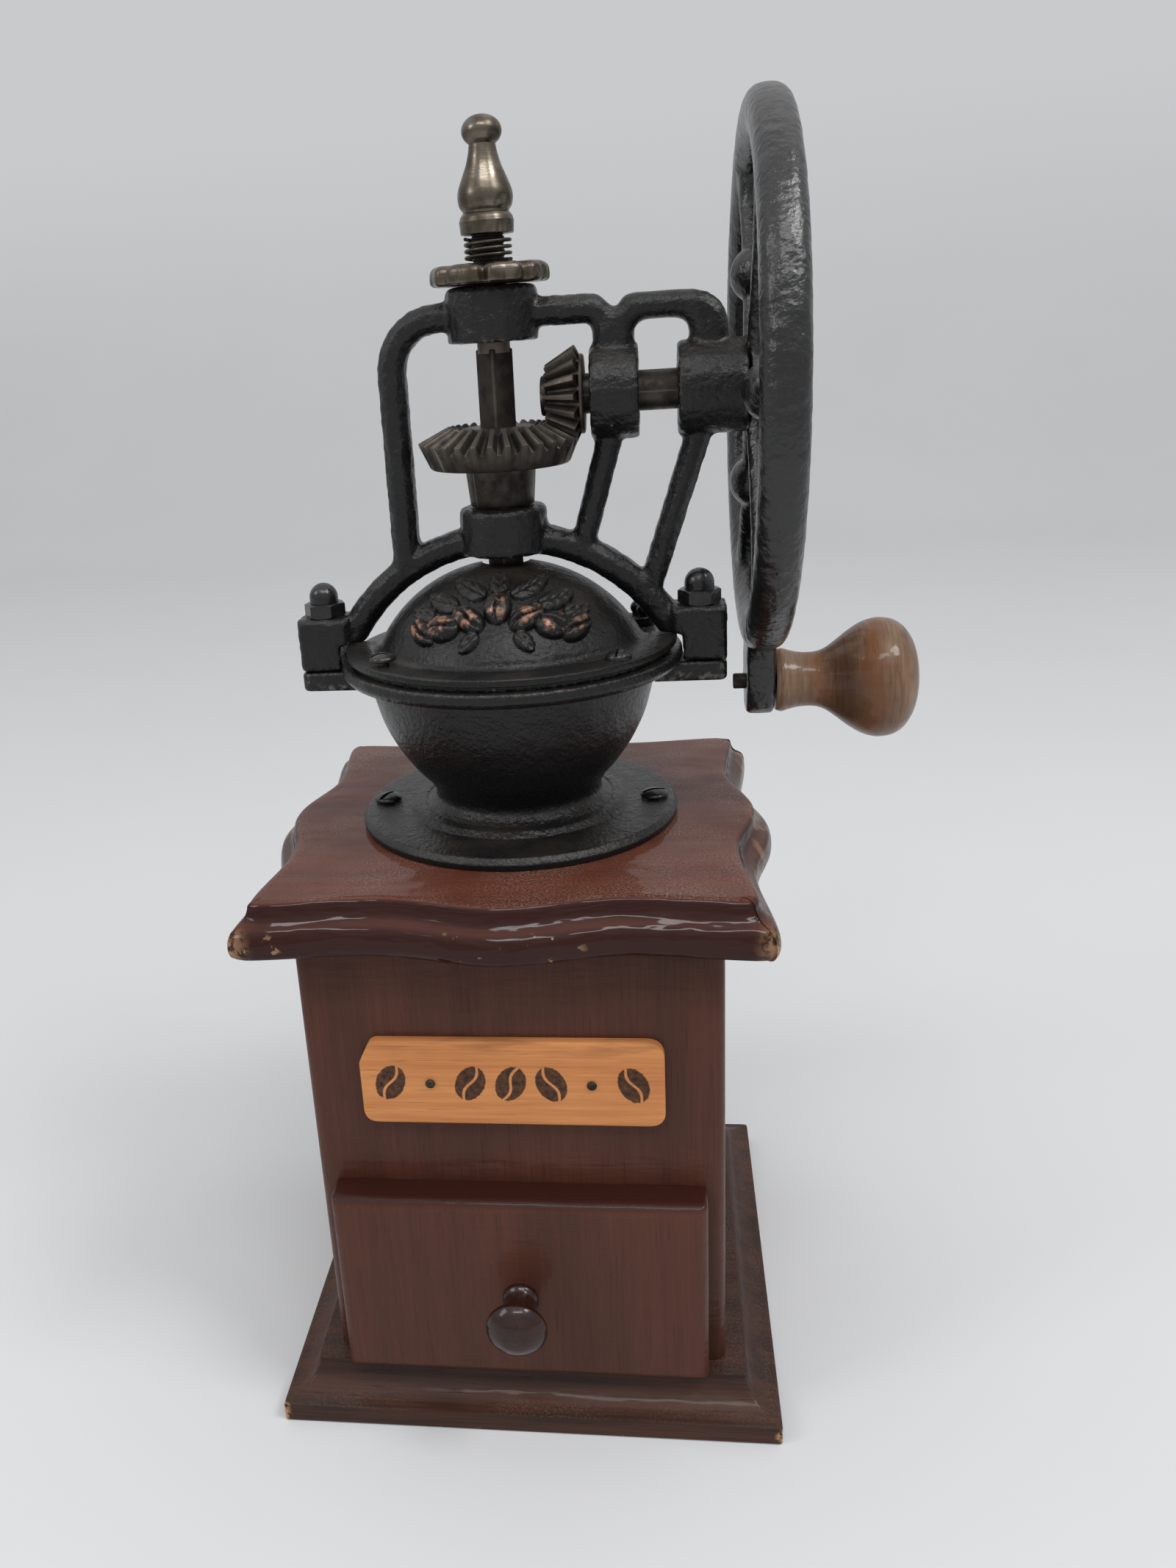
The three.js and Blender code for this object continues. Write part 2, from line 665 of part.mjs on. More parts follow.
// Hopper: flange, foot ring, flaring bowl, rim and two ears, with a ledge for the outer burr
// Height and radius along the bowl, as shares of its height and of its flare
const BOWL_SHARES = [
  [0, 0],
  [0.09, 0.11],
  [0.2, 0.29],
  [0.4, 0.58],
  [0.6, 0.79],
  [0.8, 0.91],
  [1, 1],
];
const burrSeat = outerBurrRadius + SEAT_GAP;

function bowlPoint([height, flare], offset) {
  return [NECK_RADIUS + flare * (BOWL_RADIUS - NECK_RADIUS) - offset, neckTop + height * BOWL_HEIGHT];
}

function hopper() {
  const inner = BOWL_SHARES.slice(1).map((share) => bowlPoint(share, HOPPER_WALL));
  const outer = BOWL_SHARES.map((share) => bowlPoint(share, 0));
  const profile = [
    [burrSeat, boardTop],
    [FLANGE_RADIUS - FLANGE_THICKNESS / 6, boardTop],
    [FLANGE_RADIUS, boardTop + FLANGE_THICKNESS / 2],
    [FLANGE_RADIUS - FLANGE_THICKNESS / 3, flangeTop],
    [FOOT_RING_RADIUS + FOOT_RING_HEIGHT / 2, flangeTop],
    [FOOT_RING_RADIUS, footRingTop],
    [NECK_RADIUS + NECK_HEIGHT / 3, footRingTop],
    ...outer,
    [rimRadius, rimBottom + RIM_HEIGHT / 4],
    [rimRadius - RIM_HEIGHT / 8, rimTop],
    [BOWL_RADIUS - HOPPER_WALL + RIM_HEIGHT / 4, rimTop],
    ...inner.reverse(),
    [burrSeat - BURR_LEDGE / 2, neckTop],
    [burrSeat - BURR_LEDGE / 2, burrTop + SEAT_GAP],
    [burrSeat, burrTop + SEAT_GAP],
  ];
  const ears = [-1, 1].map((side) => {
    const shape = roundedRectangle(BOWL_RADIUS - HOPPER_WALL / 2, earReach, -EAR_DEPTH / 2, EAR_DEPTH / 2, [
      0,
      EAR_THICKNESS / 2,
      EAR_THICKNESS / 2,
      0,
    ]);
    const ear = plate(shape, rimBottom - EAR_THICKNESS, EAR_THICKNESS, 0, 1, 4);
    return side < 0 ? ear.rotateZ(Math.PI) : ear;
  });
  const bowl = join(turned(profile), ...ears);
  return cut(bowl, flangeScrewHole(-1), flangeScrewHole(1), studHole(-1), studHole(1));
}

function studHole(side) {
  const hole = drill(STUD_RADIUS + RUNNING_GAP, rimBottom - EAR_THICKNESS - OVERRUN, feetPlane + FOOT_HEIGHT + OVERRUN);
  return hole.translate(side * studPlace, 0, 0);
}

// A round-headed screw with its head's underside at height zero and a slot across the head.
function slottedScrew(radius, headRadius, head, length) {
  const profile = [
    [0, -length],
    [radius, -length],
    [radius, 0],
    [headRadius, 0],
    [headRadius * 0.95, head * 0.45],
    [headRadius * 0.7, head * 0.85],
    [0, head],
  ];
  const slot = block(-headRadius - OVERRUN, headRadius + OVERRUN, -head / 5, head / 5, head * 0.55, head + OVERRUN);
  return cut(turned(profile, COARSE), slot);
}

// Cover ring, front half dome with its skirt and relief, and the rear half dome that turns about the spindle
const coverRadius = rimRadius - COVER_MARGIN;

function coverRing() {
  const profile = [
    [COVER_HOLE_RADIUS, rimTop],
    [coverRadius, rimTop],
    [coverRadius, coverTop - COVER_THICKNESS / 4],
    [coverRadius - COVER_THICKNESS / 4, coverTop],
    [COVER_HOLE_RADIUS, coverTop],
  ];
  return cut(turned(profile), domeScrewHole(-1), domeScrewHole(1));
}

const skirtRadius = rimRadius - SKIRT_MARGIN;
const domeFootRadius = Math.sqrt(DOME_RADIUS ** 2 - (coverTop - domeCentre) ** 2);
const screwReach = skirtRadius - DOME_SCREW_MARGIN;

function placeOnSkirt(geometry, side) {
  const turn = THREE.MathUtils.degToRad(DOME_SCREW_TURN);
  return geometry.translate(side * screwReach * Math.cos(turn), -screwReach * Math.sin(turn), 0);
}

function domeScrewHole(side) {
  const hole = drill(DOME_SCREW_RADIUS + RUNNING_GAP, rimTop - OVERRUN, skirtTop + OVERRUN);
  return placeOnSkirt(hole, side);
}

// A spherical shell above a height, as a profile of its outer and inner arcs.
function domeShell(outerRadius, wall, foot, segments = FINE) {
  const arc = (radius, steps) => {
    const low = Math.asin((foot - domeCentre) / radius);
    const high = Math.acos(DOME_HOLE_RADIUS / radius);
    const points = [];
    for (let i = 0; i <= steps; i++) {
      const angle = low + ((high - low) * i) / steps;
      points.push([radius * Math.cos(angle), domeCentre + radius * Math.sin(angle)]);
    }
    return points;
  };
  return turned([...arc(outerRadius, 6), ...arc(outerRadius - wall, 5).reverse()], segments);
}

// Two rising sprays of rounded beans, as direction from straight ahead and height share up the dome
const SPRAY_SHARES = [
  [0.3, 0.66, 1],
  [0.6, 0.55, 1.05],
  [0.92, 0.44, 1.1],
];
const SPRAY_SPREAD = 42;
const BEAN_RADIUS = 4.2;

function reliefBeans() {
  const beans = [];
  for (const side of [-1, 1])
    for (const [turn, height, size] of SPRAY_SHARES) {
      const azimuth = THREE.MathUtils.degToRad(-90 + side * turn * SPRAY_SPREAD);
      const z = coverTop + height * DOME_HEIGHT;
      const radius = Math.sqrt(DOME_RADIUS ** 2 - (z - domeCentre) ** 2);
      const bean = new THREE.SphereGeometry(BEAN_RADIUS * size, 8, 4);
      bean.scale(1, RELIEF_HEIGHT / BEAN_RADIUS, 0.7);
      bean.rotateY(side * -0.6);
      bean.rotateX(-Math.asin((z - domeCentre) / DOME_RADIUS));
      bean.rotateZ(azimuth + Math.PI / 2);
      beans.push(bean.translate(radius * Math.cos(azimuth), radius * Math.sin(azimuth), z));
    }
  return beans;
}

// The flat half ring round the dome's foot, with a sloping fillet up to the dome.
function domeSkirt() {
  const inner = domeFootRadius - 2 * DOME_WALL;
  const profile = [
    [inner, coverTop],
    [skirtRadius, coverTop],
    [skirtRadius, skirtTop - SKIRT_THICKNESS / 4],
    [skirtRadius - SKIRT_THICKNESS / 4, skirtTop],
    [domeFootRadius + SKIRT_FILLET / 2, skirtTop],
    [inner, skirtTop + SKIRT_FILLET],
  ];
  const inside = new THREE.SphereGeometry(DOME_RADIUS - DOME_WALL / 2, FINE, FINE / 2);
  return cut(turned(profile), inside.translate(0, 0, domeCentre));
}

function frontDome() {
  const half = block(-baseHalf, baseHalf, -baseHalf, 0, coverTop, domeTop + OVERRUN);
  const shell = domeShell(DOME_RADIUS, DOME_WALL, coverTop);
  const front = common(join(shell, ...reliefBeans(), domeSkirt()), half);
  const head = (side) =>
    placeOnSkirt(drill(DOME_SCREW_HEAD_RADIUS + SEAT_GAP, skirtTop, domeTop), side);
  return cut(front, domeScrewHole(-1), domeScrewHole(1), head(-1), head(1));
}

const lidFoot = coverTop + SEAT_GAP;
const lidTabReach = coverRadius - LID_TAB_MARGIN;
const lidRadius = DOME_RADIUS - DOME_WALL - LID_GAP;

function rearLid() {
  const half = block(-baseHalf, baseHalf, SEAT_GAP, baseHalf, lidFoot, domeTop + OVERRUN);
  const shell = common(domeShell(lidRadius, DOME_WALL, lidFoot), half);
  const inner = Math.sqrt((lidRadius - DOME_WALL / 2) ** 2 - (lidFoot + LID_TAB_THICKNESS - domeCentre) ** 2);
  const wide = LID_TAB_WIDTH / 2;
  const shape = roundedRectangle(inner, lidTabReach, -wide, wide, [0, wide / 2, wide / 2, 0]);
  const tab = plate(shape, lidFoot, LID_TAB_THICKNESS, 0, 1, 4);
  const clear = new THREE.SphereGeometry(lidRadius - DOME_WALL, MEDIUM, COARSE).translate(0, 0, domeCentre);
  tab.rotateZ(THREE.MathUtils.degToRad(LID_TAB_ANGLE));
  return cut(join(shell, cut(tab, clear)), lidRivetHole(-1), lidRivetHole(1));
}

const rivetReach = lidTabReach - LID_RIVET_RADIUS * 2.2;

function placeOnTab(geometry, side) {
  geometry.translate(rivetReach, side * LID_RIVET_RADIUS, lidFoot + LID_TAB_THICKNESS);
  return geometry.rotateZ(THREE.MathUtils.degToRad(LID_TAB_ANGLE));
}

function lidRivetHole(side) {
  const hole = drill(LID_RIVET_RADIUS / 2 + RUNNING_GAP, -LID_TAB_THICKNESS - OVERRUN, OVERRUN);
  return placeOnTab(hole, side * 1.15);
}

function lidRivet(side) {
  const r = LID_RIVET_RADIUS;
  const profile = [
    [0, -LID_TAB_THICKNESS],
    [r / 2, -LID_TAB_THICKNESS],
    [r / 2, SEAT_GAP / 2],
    [r * 0.8, SEAT_GAP / 2],
    [r, r * 0.8],
    [r * 0.75, r * 1.55],
    [0, r * 1.9],
  ];
  return placeOnTab(turned(profile, COARSE), side * 1.15);
}

// Burrs: a toothed cone that turns inside a toothed ring
function toothedRing(radius, z, count, depth, twist) {
  const ring = [];
  for (let i = 0; i < count * 4; i++) {
    const rise = [0, 0.5, 1, 0.9][i % 4];
    const angle = (i / (count * 4)) * 2 * Math.PI + twist;
    const r = radius + depth * rise;
    ring.push(new THREE.Vector3(r * Math.cos(angle), r * Math.sin(angle), z));
  }
  return ring;
}

const BURR_TEETH = 14;
const BURR_TWIST = 0.35;
const BURR_LEVELS = 2;

function burrCone(topRadius, bottomRadius, z0, z1, count, depth) {
  const rings = [];
  for (let k = 0; k <= BURR_LEVELS; k++) {
    const share = k / BURR_LEVELS;
    const radius = bottomRadius + (topRadius - bottomRadius) * share;
    rings.push(toothedRing(radius, z0 + (z1 - z0) * share, count, depth, BURR_TWIST * share));
  }
  return loft(rings);
}

function outerBurr() {
  const wide = BURR_GAP + BURR_TOOTH;
  const body = turned(
    [
      [0, burrBottom],
      [outerBurrRadius, burrBottom],
      [outerBurrRadius, burrTop],
      [0, burrTop],
    ],
    MEDIUM,
  );
  const rise = (burrBottomRadius - burrTopRadius) / BURR_HEIGHT;
  const bore = burrCone(
    burrTopRadius - rise * OVERRUN + 2 * wide,
    burrBottomRadius + rise * OVERRUN + wide,
    burrBottom - OVERRUN,
    burrTop + OVERRUN,
    BURR_TEETH,
    -BURR_TOOTH / 2,
  );
  return cut(body, bore);
}

const squareBar = (flats, z0, z1) => block(-flats / 2, flats / 2, -flats / 2, flats / 2, z0, z1).rotateZ(Math.PI / 4);
const squareHole = SPINDLE_FLATS + 2 * RUNNING_GAP;

function innerBurr() {
  const cone = burrCone(burrTopRadius, burrBottomRadius, burrBottom, burrTop, BURR_TEETH, BURR_TOOTH);
  return cut(cone, squareBar(squareHole, burrBottom - OVERRUN, burrTop + OVERRUN));
}

// Spindle: a square bar between a threaded rod at the top and a threaded tail under the burr
const tailBottom = burrBottom - BURR_WASHER_THICKNESS - BURR_NUT_HEIGHT - SPINDLE_TAIL_RADIUS / 2;
const rodTop = finialBottom + FINIAL_HEIGHT * 0.35;

function spindle() {
  const square = squareBar(SPINDLE_FLATS, burrBottom, squareTop);
  const upper = rod(SPINDLE_ROD_RADIUS, squareTop - EMBED, rodTop, COARSE);
  const tail = rod(SPINDLE_TAIL_RADIUS, tailBottom, burrBottom + EMBED, COARSE);
  return join(square, upper, tail);
}

function burrWasher() {
  const r = BURR_NUT_FLATS / 2 + BURR_WASHER_THICKNESS;
  const low = burrBottom - BURR_WASHER_THICKNESS;
  const profile = [
    [SPINDLE_TAIL_RADIUS + RUNNING_GAP, low],
    [r, low],
    [r, burrBottom],
    [SPINDLE_TAIL_RADIUS + RUNNING_GAP, burrBottom],
  ];
  return turned(profile, COARSE);
}

function burrNut() {
  const low = burrBottom - BURR_WASHER_THICKNESS - BURR_NUT_HEIGHT;
  const hole = drill(SPINDLE_TAIL_RADIUS + RUNNING_GAP, low - OVERRUN, low + BURR_NUT_HEIGHT + OVERRUN);
  return cut(hexagon(BURR_NUT_FLATS, low, BURR_NUT_HEIGHT), hole);
}

// Finial: radius and height up the turned piece, as shares of its collar radius and its height
const FINIAL_SHARES = [
  [0.86, 0],
  [1, 0.03],
  [1, 0.12],
  [0.84, 0.16],
  [0.86, 0.19],
  [0.97, 0.25],
  [0.97, 0.33],
  [0.82, 0.43],
  [0.58, 0.53],
  [0.42, 0.6],
  [0.38, 0.64],
];

function finial() {
  const stem = FINIAL_SHARES.map(([r, h]) => [r * FINIAL_RADIUS, finialBottom + h * FINIAL_HEIGHT]);
  const ballCentre = finialTop - FINIAL_BALL_RADIUS;
  const neck = stem[stem.length - 1][0];
  const start = -Math.acos(neck / FINIAL_BALL_RADIUS);
  const BALL_STEPS = 5;
  for (let i = 0; i <= BALL_STEPS; i++) {
    const angle = start + ((Math.PI / 2 - start) * i) / BALL_STEPS;
    stem.push([FINIAL_BALL_RADIUS * Math.cos(angle), ballCentre + FINIAL_BALL_RADIUS * Math.sin(angle)]);
  }
  const hole = SPINDLE_ROD_RADIUS + RUNNING_GAP;
  const profile = [[hole, finialBottom], ...stem, [0, rodTop + SEAT_GAP], [hole, rodTop + SEAT_GAP]];
  return turned(profile, MEDIUM);
}

// Adjusting nut: a plate with rounded lobes between notches
const LOBE_POINTS = 6;

function adjustingNut() {
  const points = [];
  for (let i = 0; i < NUT_LOBES * LOBE_POINTS; i++) {
    const angle = (i / (NUT_LOBES * LOBE_POINTS)) * 2 * Math.PI;
    const notch = Math.max(0, Math.cos(angle * NUT_LOBES)) ** 2;
    const r = NUT_RADIUS - NUT_NOTCH * notch;
    points.push([r * Math.cos(angle), r * Math.sin(angle)]);
  }
  const body = plate(outline(points), nutBottom, NUT_THICKNESS, NUT_THICKNESS / 4, 1);
  return cut(body, drill(SPINDLE_ROD_RADIUS + RUNNING_GAP, nutBottom - OVERRUN, nutTop + OVERRUN));
}

// Lock spring: one unbroken wire wound between the nut and the finial
const STEPS_PER_TURN = 8;
const WIRE_SIDES = 5;

function lockSpring() {
  const wire = SPRING_WIRE / 2;
  const low = nutTop + SEAT_GAP + wire;
  const high = finialBottom - SEAT_GAP - wire;
  const steps = SPRING_TURNS * STEPS_PER_TURN;
  const rings = [];
  const centres = [];
  for (let i = 0; i <= steps; i++) {
    const angle = (i / STEPS_PER_TURN) * 2 * Math.PI;
    const out = new THREE.Vector3(Math.cos(angle), Math.sin(angle), 0);
    const centre = out.clone().multiplyScalar(SPRING_RADIUS).setZ(low + ((high - low) * i) / steps);
    centres.push(centre);
    const ring = [];
    for (let k = 0; k < WIRE_SIDES; k++) {
      const turn = (k / WIRE_SIDES) * 2 * Math.PI;
      const p = centre.clone().addScaledVector(out, wire * Math.cos(turn));
      ring.push(p.setZ(p.z + wire * Math.sin(turn)));
    }
    rings.push(ring);
  }
  let least = Infinity;
  centres.forEach((a, i) =>
    centres.slice(i + STEPS_PER_TURN / 2).forEach((b) => {
      least = Math.min(least, a.distanceTo(b) - SPRING_WIRE);
    }),
  );
  console.log(`lock spring: least gap between turns ${least.toFixed(2)} mm`);
  return loft(rings);
}

// Bevel gear pair: both pitch cones meet at the crossing of the spindle's and the shaft's axes
const coneLength = Math.hypot(gearPitchRadius, pinionPitchRadius);
const gearCone = Math.atan2(gearPitchRadius, pinionPitchRadius);
const pinionCone = Math.PI / 2 - gearCone;
const ADDENDUM_SHARE = 0.75;
const DEDENDUM_SHARE = 1.05;
// Half widths of a tooth at its root and tip, as shares of the tooth pitch
const ROOT_SHARE = 0.37;
const TIP_SHARE = 0.145;

// Toothed body of a bevel gear whose apex is at zero height and whose axis runs up from it.
function bevelTeeth(teeth, cone, phase) {
  const backlash = TOOTH_BACKLASH / (2 * Math.PI * coneLength * Math.sin(cone));
  const tip = cone + (ADDENDUM_SHARE * TOOTH_MODULE) / coneLength;
  const root = cone - (DEDENDUM_SHARE * TOOTH_MODULE) / coneLength;
  const section = [
    [-ROOT_SHARE, root],
    [-TIP_SHARE, tip],
    [TIP_SHARE, tip],
    [ROOT_SHARE, root],
  ];
  const ringAt = (distance) => {
    const ring = [];
    for (let t = 0; t < teeth; t++)
      for (const [share, angle] of section) {
        const pull = -Math.sign(share) * backlash * Math.PI;
        const turn = ((t + share) / teeth) * 2 * Math.PI + pull + phase;
        const r = distance * Math.sin(angle);
        ring.push(new THREE.Vector3(r * Math.cos(turn), r * Math.sin(turn), distance * Math.cos(angle)));
      }
    return ring;
  };
  return loft([ringAt(coneLength - TOOTH_FACE), ringAt(coneLength)]);
}

const gearEye = shaftZ - (coneLength - TOOTH_FACE) * Math.cos(gearCone);

function bevelGear() {
  const teeth = bevelTeeth(GEAR_TEETH, gearCone, Math.PI / GEAR_TEETH).rotateX(Math.PI).translate(0, 0, shaftZ);
  const rimTopZ = shaftZ - pinionPitchRadius - TOOTH_MODULE * DEDENDUM_SHARE;
  const profile = [
    [0, lowerBossBottom],
    [GEAR_JOURNAL_RADIUS, lowerBossBottom],
    [GEAR_JOURNAL_RADIUS, lowerBossTop + SEAT_GAP],
    [GEAR_HUB_FOOT_RADIUS, lowerBossTop + SEAT_GAP],
    [GEAR_HUB_RADIUS, gearBack],
    [gearPitchRadius - GEAR_BACK_INSET, gearBack],
    [gearPitchRadius, rimTopZ],
    [GEAR_HUB_RADIUS, rimTopZ],
    [GEAR_HUB_RADIUS, gearEye],
    [0, gearEye],
  ];
  const hole = squareBar(squareHole, lowerBossBottom - OVERRUN, gearEye + OVERRUN);
  return cut(join(turned(profile, MEDIUM), teeth), hole);
}

const collarStart = gearPitchRadius - EMBED / 2;
const collarEnd = gearPitchRadius + PINION_COLLAR_THICKNESS;
const pinionNose = (coneLength - TOOTH_FACE) * Math.cos(pinionCone);

function bevelPinion() {
  const teeth = bevelTeeth(PINION_TEETH, pinionCone, 0);
  const collar = turned(
    [
      [0, collarStart - EMBED],
      [PINION_COLLAR_RADIUS - EMBED, collarStart - EMBED],
      [PINION_COLLAR_RADIUS - EMBED, gearPitchRadius + EMBED / 2],
      [PINION_COLLAR_RADIUS, gearPitchRadius + EMBED / 2],
      [PINION_COLLAR_RADIUS, collarEnd - EMBED / 4],
      [PINION_COLLAR_RADIUS - EMBED / 4, collarEnd],
      [0, collarEnd],
    ],
    MEDIUM,
  );
  const bore = drill(SHAFT_RADIUS + RUNNING_GAP, 0, collarEnd + OVERRUN, MEDIUM);
  return alongX(cut(join(teeth, collar), bore));
}

// Wheel shaft, stepped down to a thread for the wheel's nut
const hubEnd = wheelPlace + HUB_OUTSTAND;
const washerEnd = hubEnd + WHEEL_WASHER_THICKNESS;
const wheelNutEnd = washerEnd + WHEEL_NUT_HEIGHT;
const shaftStep = hubEnd - EMBED;

function wheelShaft() {
  const start = pinionNose - SHAFT_NOSE;
  const profile = [
    [0, start],
    [SHAFT_RADIUS - EMBED / 2, start],
    [SHAFT_RADIUS, start + EMBED / 2],
    [SHAFT_RADIUS, shaftStep],
    [SHAFT_THREAD_RADIUS, shaftStep],
    [SHAFT_THREAD_RADIUS, wheelNutEnd + EMBED],
    [0, wheelNutEnd + EMBED],
  ];
  return alongX(turned(profile, MEDIUM));
}

// Hand wheel: rounded rim, flared spokes with a bead on every second one, hub and crank lug
const rimInner = WHEEL_RADIUS - RIM_DEPTH;
const RIM_SECTION_POINTS = 8;
const SECTION_SQUARENESS = 2.6;

function wheelRim() {
  const points = [];
  for (let i = 0; i < RIM_SECTION_POINTS; i++) {
    const angle = (i / RIM_SECTION_POINTS) * 2 * Math.PI;
    const bend = (v) => Math.sign(v) * Math.abs(v) ** (2 / SECTION_SQUARENESS);
    const r = WHEEL_RADIUS - RIM_DEPTH / 2 + (RIM_DEPTH / 2) * bend(Math.cos(angle));
    points.push([r, wheelPlace + (RIM_WIDTH / 2) * bend(Math.sin(angle))]);
  }
  return turned(points);
}

function wheelSpoke(angle, beaded) {
  const half = SPOKE_THICKNESS / 2;
  const out = rimInner + RIM_DEPTH / 3;
  const shape = new THREE.Shape();
  shape.moveTo(0, -half * 1.5);
  shape.lineTo(HUB_RADIUS, -half * 1.5);
  shape.quadraticCurveTo(BEAD_PLACE, -half * 0.7, rimInner - SPOKE_FLARE / 2, -half * 1.3);
  shape.quadraticCurveTo(rimInner - EMBED, -half * 2, rimInner, -SPOKE_FLARE);
  shape.lineTo(out, -SPOKE_FLARE);
  shape.lineTo(out, SPOKE_FLARE);
  shape.lineTo(rimInner, SPOKE_FLARE);
  shape.quadraticCurveTo(rimInner - EMBED, half * 2, rimInner - SPOKE_FLARE / 2, half * 1.3);
  shape.quadraticCurveTo(BEAD_PLACE, half * 0.7, HUB_RADIUS, half * 1.5);
  shape.lineTo(0, half * 1.5);
  const bar = plate(shape, wheelPlace - SPOKE_WIDTH / 2, SPOKE_WIDTH, SPOKE_THICKNESS / 4, 1, 2);
  const parts = [bar];
  if (beaded) {
    const bead = new THREE.SphereGeometry(BEAD_RADIUS, 10, 6);
    parts.push(bead.translate(BEAD_PLACE, 0, wheelPlace));
  }
  return parts.map((piece) => piece.rotateZ(angle));
}

function crankLug() {
  const shape = new THREE.Shape();
  const root = WHEEL_RADIUS - RIM_DEPTH / 2;
  const flank = LUG_RADIUS * 1.35;
  shape.moveTo(root, -flank);
  shape.lineTo(CRANK_RADIUS, -LUG_RADIUS);
  shape.absarc(CRANK_RADIUS, 0, LUG_RADIUS, -Math.PI / 2, Math.PI / 2);
  shape.lineTo(root, flank);
  return plate(shape, wheelPlace - LUG_THICKNESS / 2, LUG_THICKNESS, EMBED, 1, 8);
}

const crankZ = -CRANK_RADIUS;

function flywheel() {
  const parts = [wheelRim(), crankLug()];
  for (let i = 0; i < SPOKE_COUNT; i++)
    parts.push(...wheelSpoke(((i + 0.5) / SPOKE_COUNT) * 2 * Math.PI, i % 2 === 0));
  const hub = turned(
    [
      [0, hubStart],
      [HUB_RADIUS - EMBED, hubStart],
      [HUB_RADIUS, hubStart + EMBED],
      [HUB_RADIUS, hubEnd - 2 * EMBED],
      [HUB_RADIUS - 2 * EMBED, hubEnd],
      [0, hubEnd],
    ],
    MEDIUM,
  );
  const bore = drill(SHAFT_RADIUS + RUNNING_GAP, 0, hubEnd + OVERRUN, MEDIUM);
  const bossRoom = drill(BOSS_RADIUS + EMBED, 0, hubStart, MEDIUM);
  const pin = drill(PIN_RADIUS + RUNNING_GAP, 0, hubEnd + OVERRUN).translate(CRANK_RADIUS, 0, 0);
  return alongX(cut(join(...parts, hub), bore, bossRoom, pin));
}

function ringAlongX(outer, inner, x0, x1, segments = MEDIUM) {
  return alongX(turned([[inner, x0], [outer, x0], [outer, x1], [inner, x1]], segments));
}

function wheelNut() {
  const hole = drill(SHAFT_THREAD_RADIUS + RUNNING_GAP, washerEnd - OVERRUN, wheelNutEnd + OVERRUN);
  return alongX(cut(hexagon(WHEEL_NUT_FLATS, washerEnd, WHEEL_NUT_HEIGHT), hole));
}

// Crank pin and grip
const lugFace = wheelPlace + LUG_THICKNESS / 2;
const gripStart = lugFace + SEAT_GAP;
const gripEnd = gripStart + GRIP_LENGTH;
const pinHeadSeat = gripEnd - GRIP_RECESS;

function handlePin() {
  const start = wheelPlace - LUG_THICKNESS / 2 - PIN_OUTSTAND;
  const profile = [
    [0, start],
    [PIN_RADIUS, start],
    [PIN_RADIUS, pinHeadSeat + SEAT_GAP],
    [PIN_HEAD_RADIUS, pinHeadSeat + SEAT_GAP],
    [PIN_HEAD_RADIUS * 0.8, pinHeadSeat + SEAT_GAP + PIN_HEAD],
    [0, pinHeadSeat + SEAT_GAP + PIN_HEAD],
  ];
  return alongX(turned(profile, COARSE)).translate(0, 0, crankZ);
}

// Radius steps between the neck, waist and bulb, and place along the grip
const GRIP_PROFILE = [
  [GRIP_NECK_RADIUS * 0.94, 0],
  [GRIP_NECK_RADIUS, 0.03],
  [GRIP_NECK_RADIUS * 0.96, 0.09],
  [GRIP_WAIST_RADIUS, 0.2],
  [GRIP_WAIST_RADIUS, 0.3],
  [GRIP_WAIST_RADIUS * 1.25, 0.4],
  [GRIP_BULB_RADIUS * 0.82, 0.52],
  [GRIP_BULB_RADIUS * 0.97, 0.64],
  [GRIP_BULB_RADIUS, 0.72],
  [GRIP_BULB_RADIUS * 0.95, 0.82],
  [GRIP_BULB_RADIUS * 0.8, 0.91],
  [GRIP_BULB_RADIUS * 0.56, 0.98],
  [GRIP_BULB_RADIUS * 0.4, 1],
];

function handleGrip() {
  const hole = PIN_RADIUS + RUNNING_GAP * 2;
  const recess = PIN_HEAD_RADIUS + SEAT_GAP;
  const profile = [
    [hole, gripStart],
    ...GRIP_PROFILE.map(([r, share]) => [r, gripStart + share * GRIP_LENGTH]),
    [recess, gripEnd],
    [recess, pinHeadSeat],
    [hole, pinHeadSeat],
  ];
  return alongX(turned(profile, MEDIUM)).translate(0, 0, crankZ);
}

// Yoke: one casting of feet, arch, post, top bar, loop, two legs and four bosses
const archInner = rimRadius + ARCH_ROOM;
const archOuter = archInner + ARCH_BAND;
const archCentre = lowerBossBottom + ARCH_CROWN_RISE - archInner;
const footTop = feetPlane + FOOT_HEIGHT;
const footInner = earReach - FOOT_WIDTH;
const bossTop = shaftZ + BOSS_RADIUS;

function archShape() {
  const start = Math.asin((footTop - FOOT_HEIGHT / 2 - archCentre) / archOuter);
  const shape = new THREE.Shape();
  shape.absarc(0, archCentre, archOuter, start, Math.PI - start, false);
  shape.absarc(0, archCentre, archInner, Math.PI - start, start, true);
  return shape;
}

function postShape() {
  const left = -gearPitchRadius - POST_ROOM;
  const r = TOP_CORNER_RADIUS;
  const foot = archCentre + archInner * 0.9;
  const inner = r - POST_WIDTH;
  const under = barTop - TOP_BAR_BAND;
  const right = nearBossStart + NEAR_BOSS_LENGTH / 2;
  const shape = new THREE.Shape();
  shape.moveTo(left, foot);
  shape.lineTo(left + POST_WIDTH, foot);
  shape.lineTo(left + POST_WIDTH, under - inner);
  shape.absarc(left + r, under - inner, inner, Math.PI, Math.PI / 2, true);
  shape.lineTo(right, under);
  shape.lineTo(right, barTop - TOP_BAR_BAND / 2);
  shape.lineTo(right - TOP_BAR_BAND / 2, barTop);
  shape.lineTo(left + r, barTop);
  shape.absarc(left + r, barTop - r, r, Math.PI / 2, Math.PI, false);
  return shape;
}

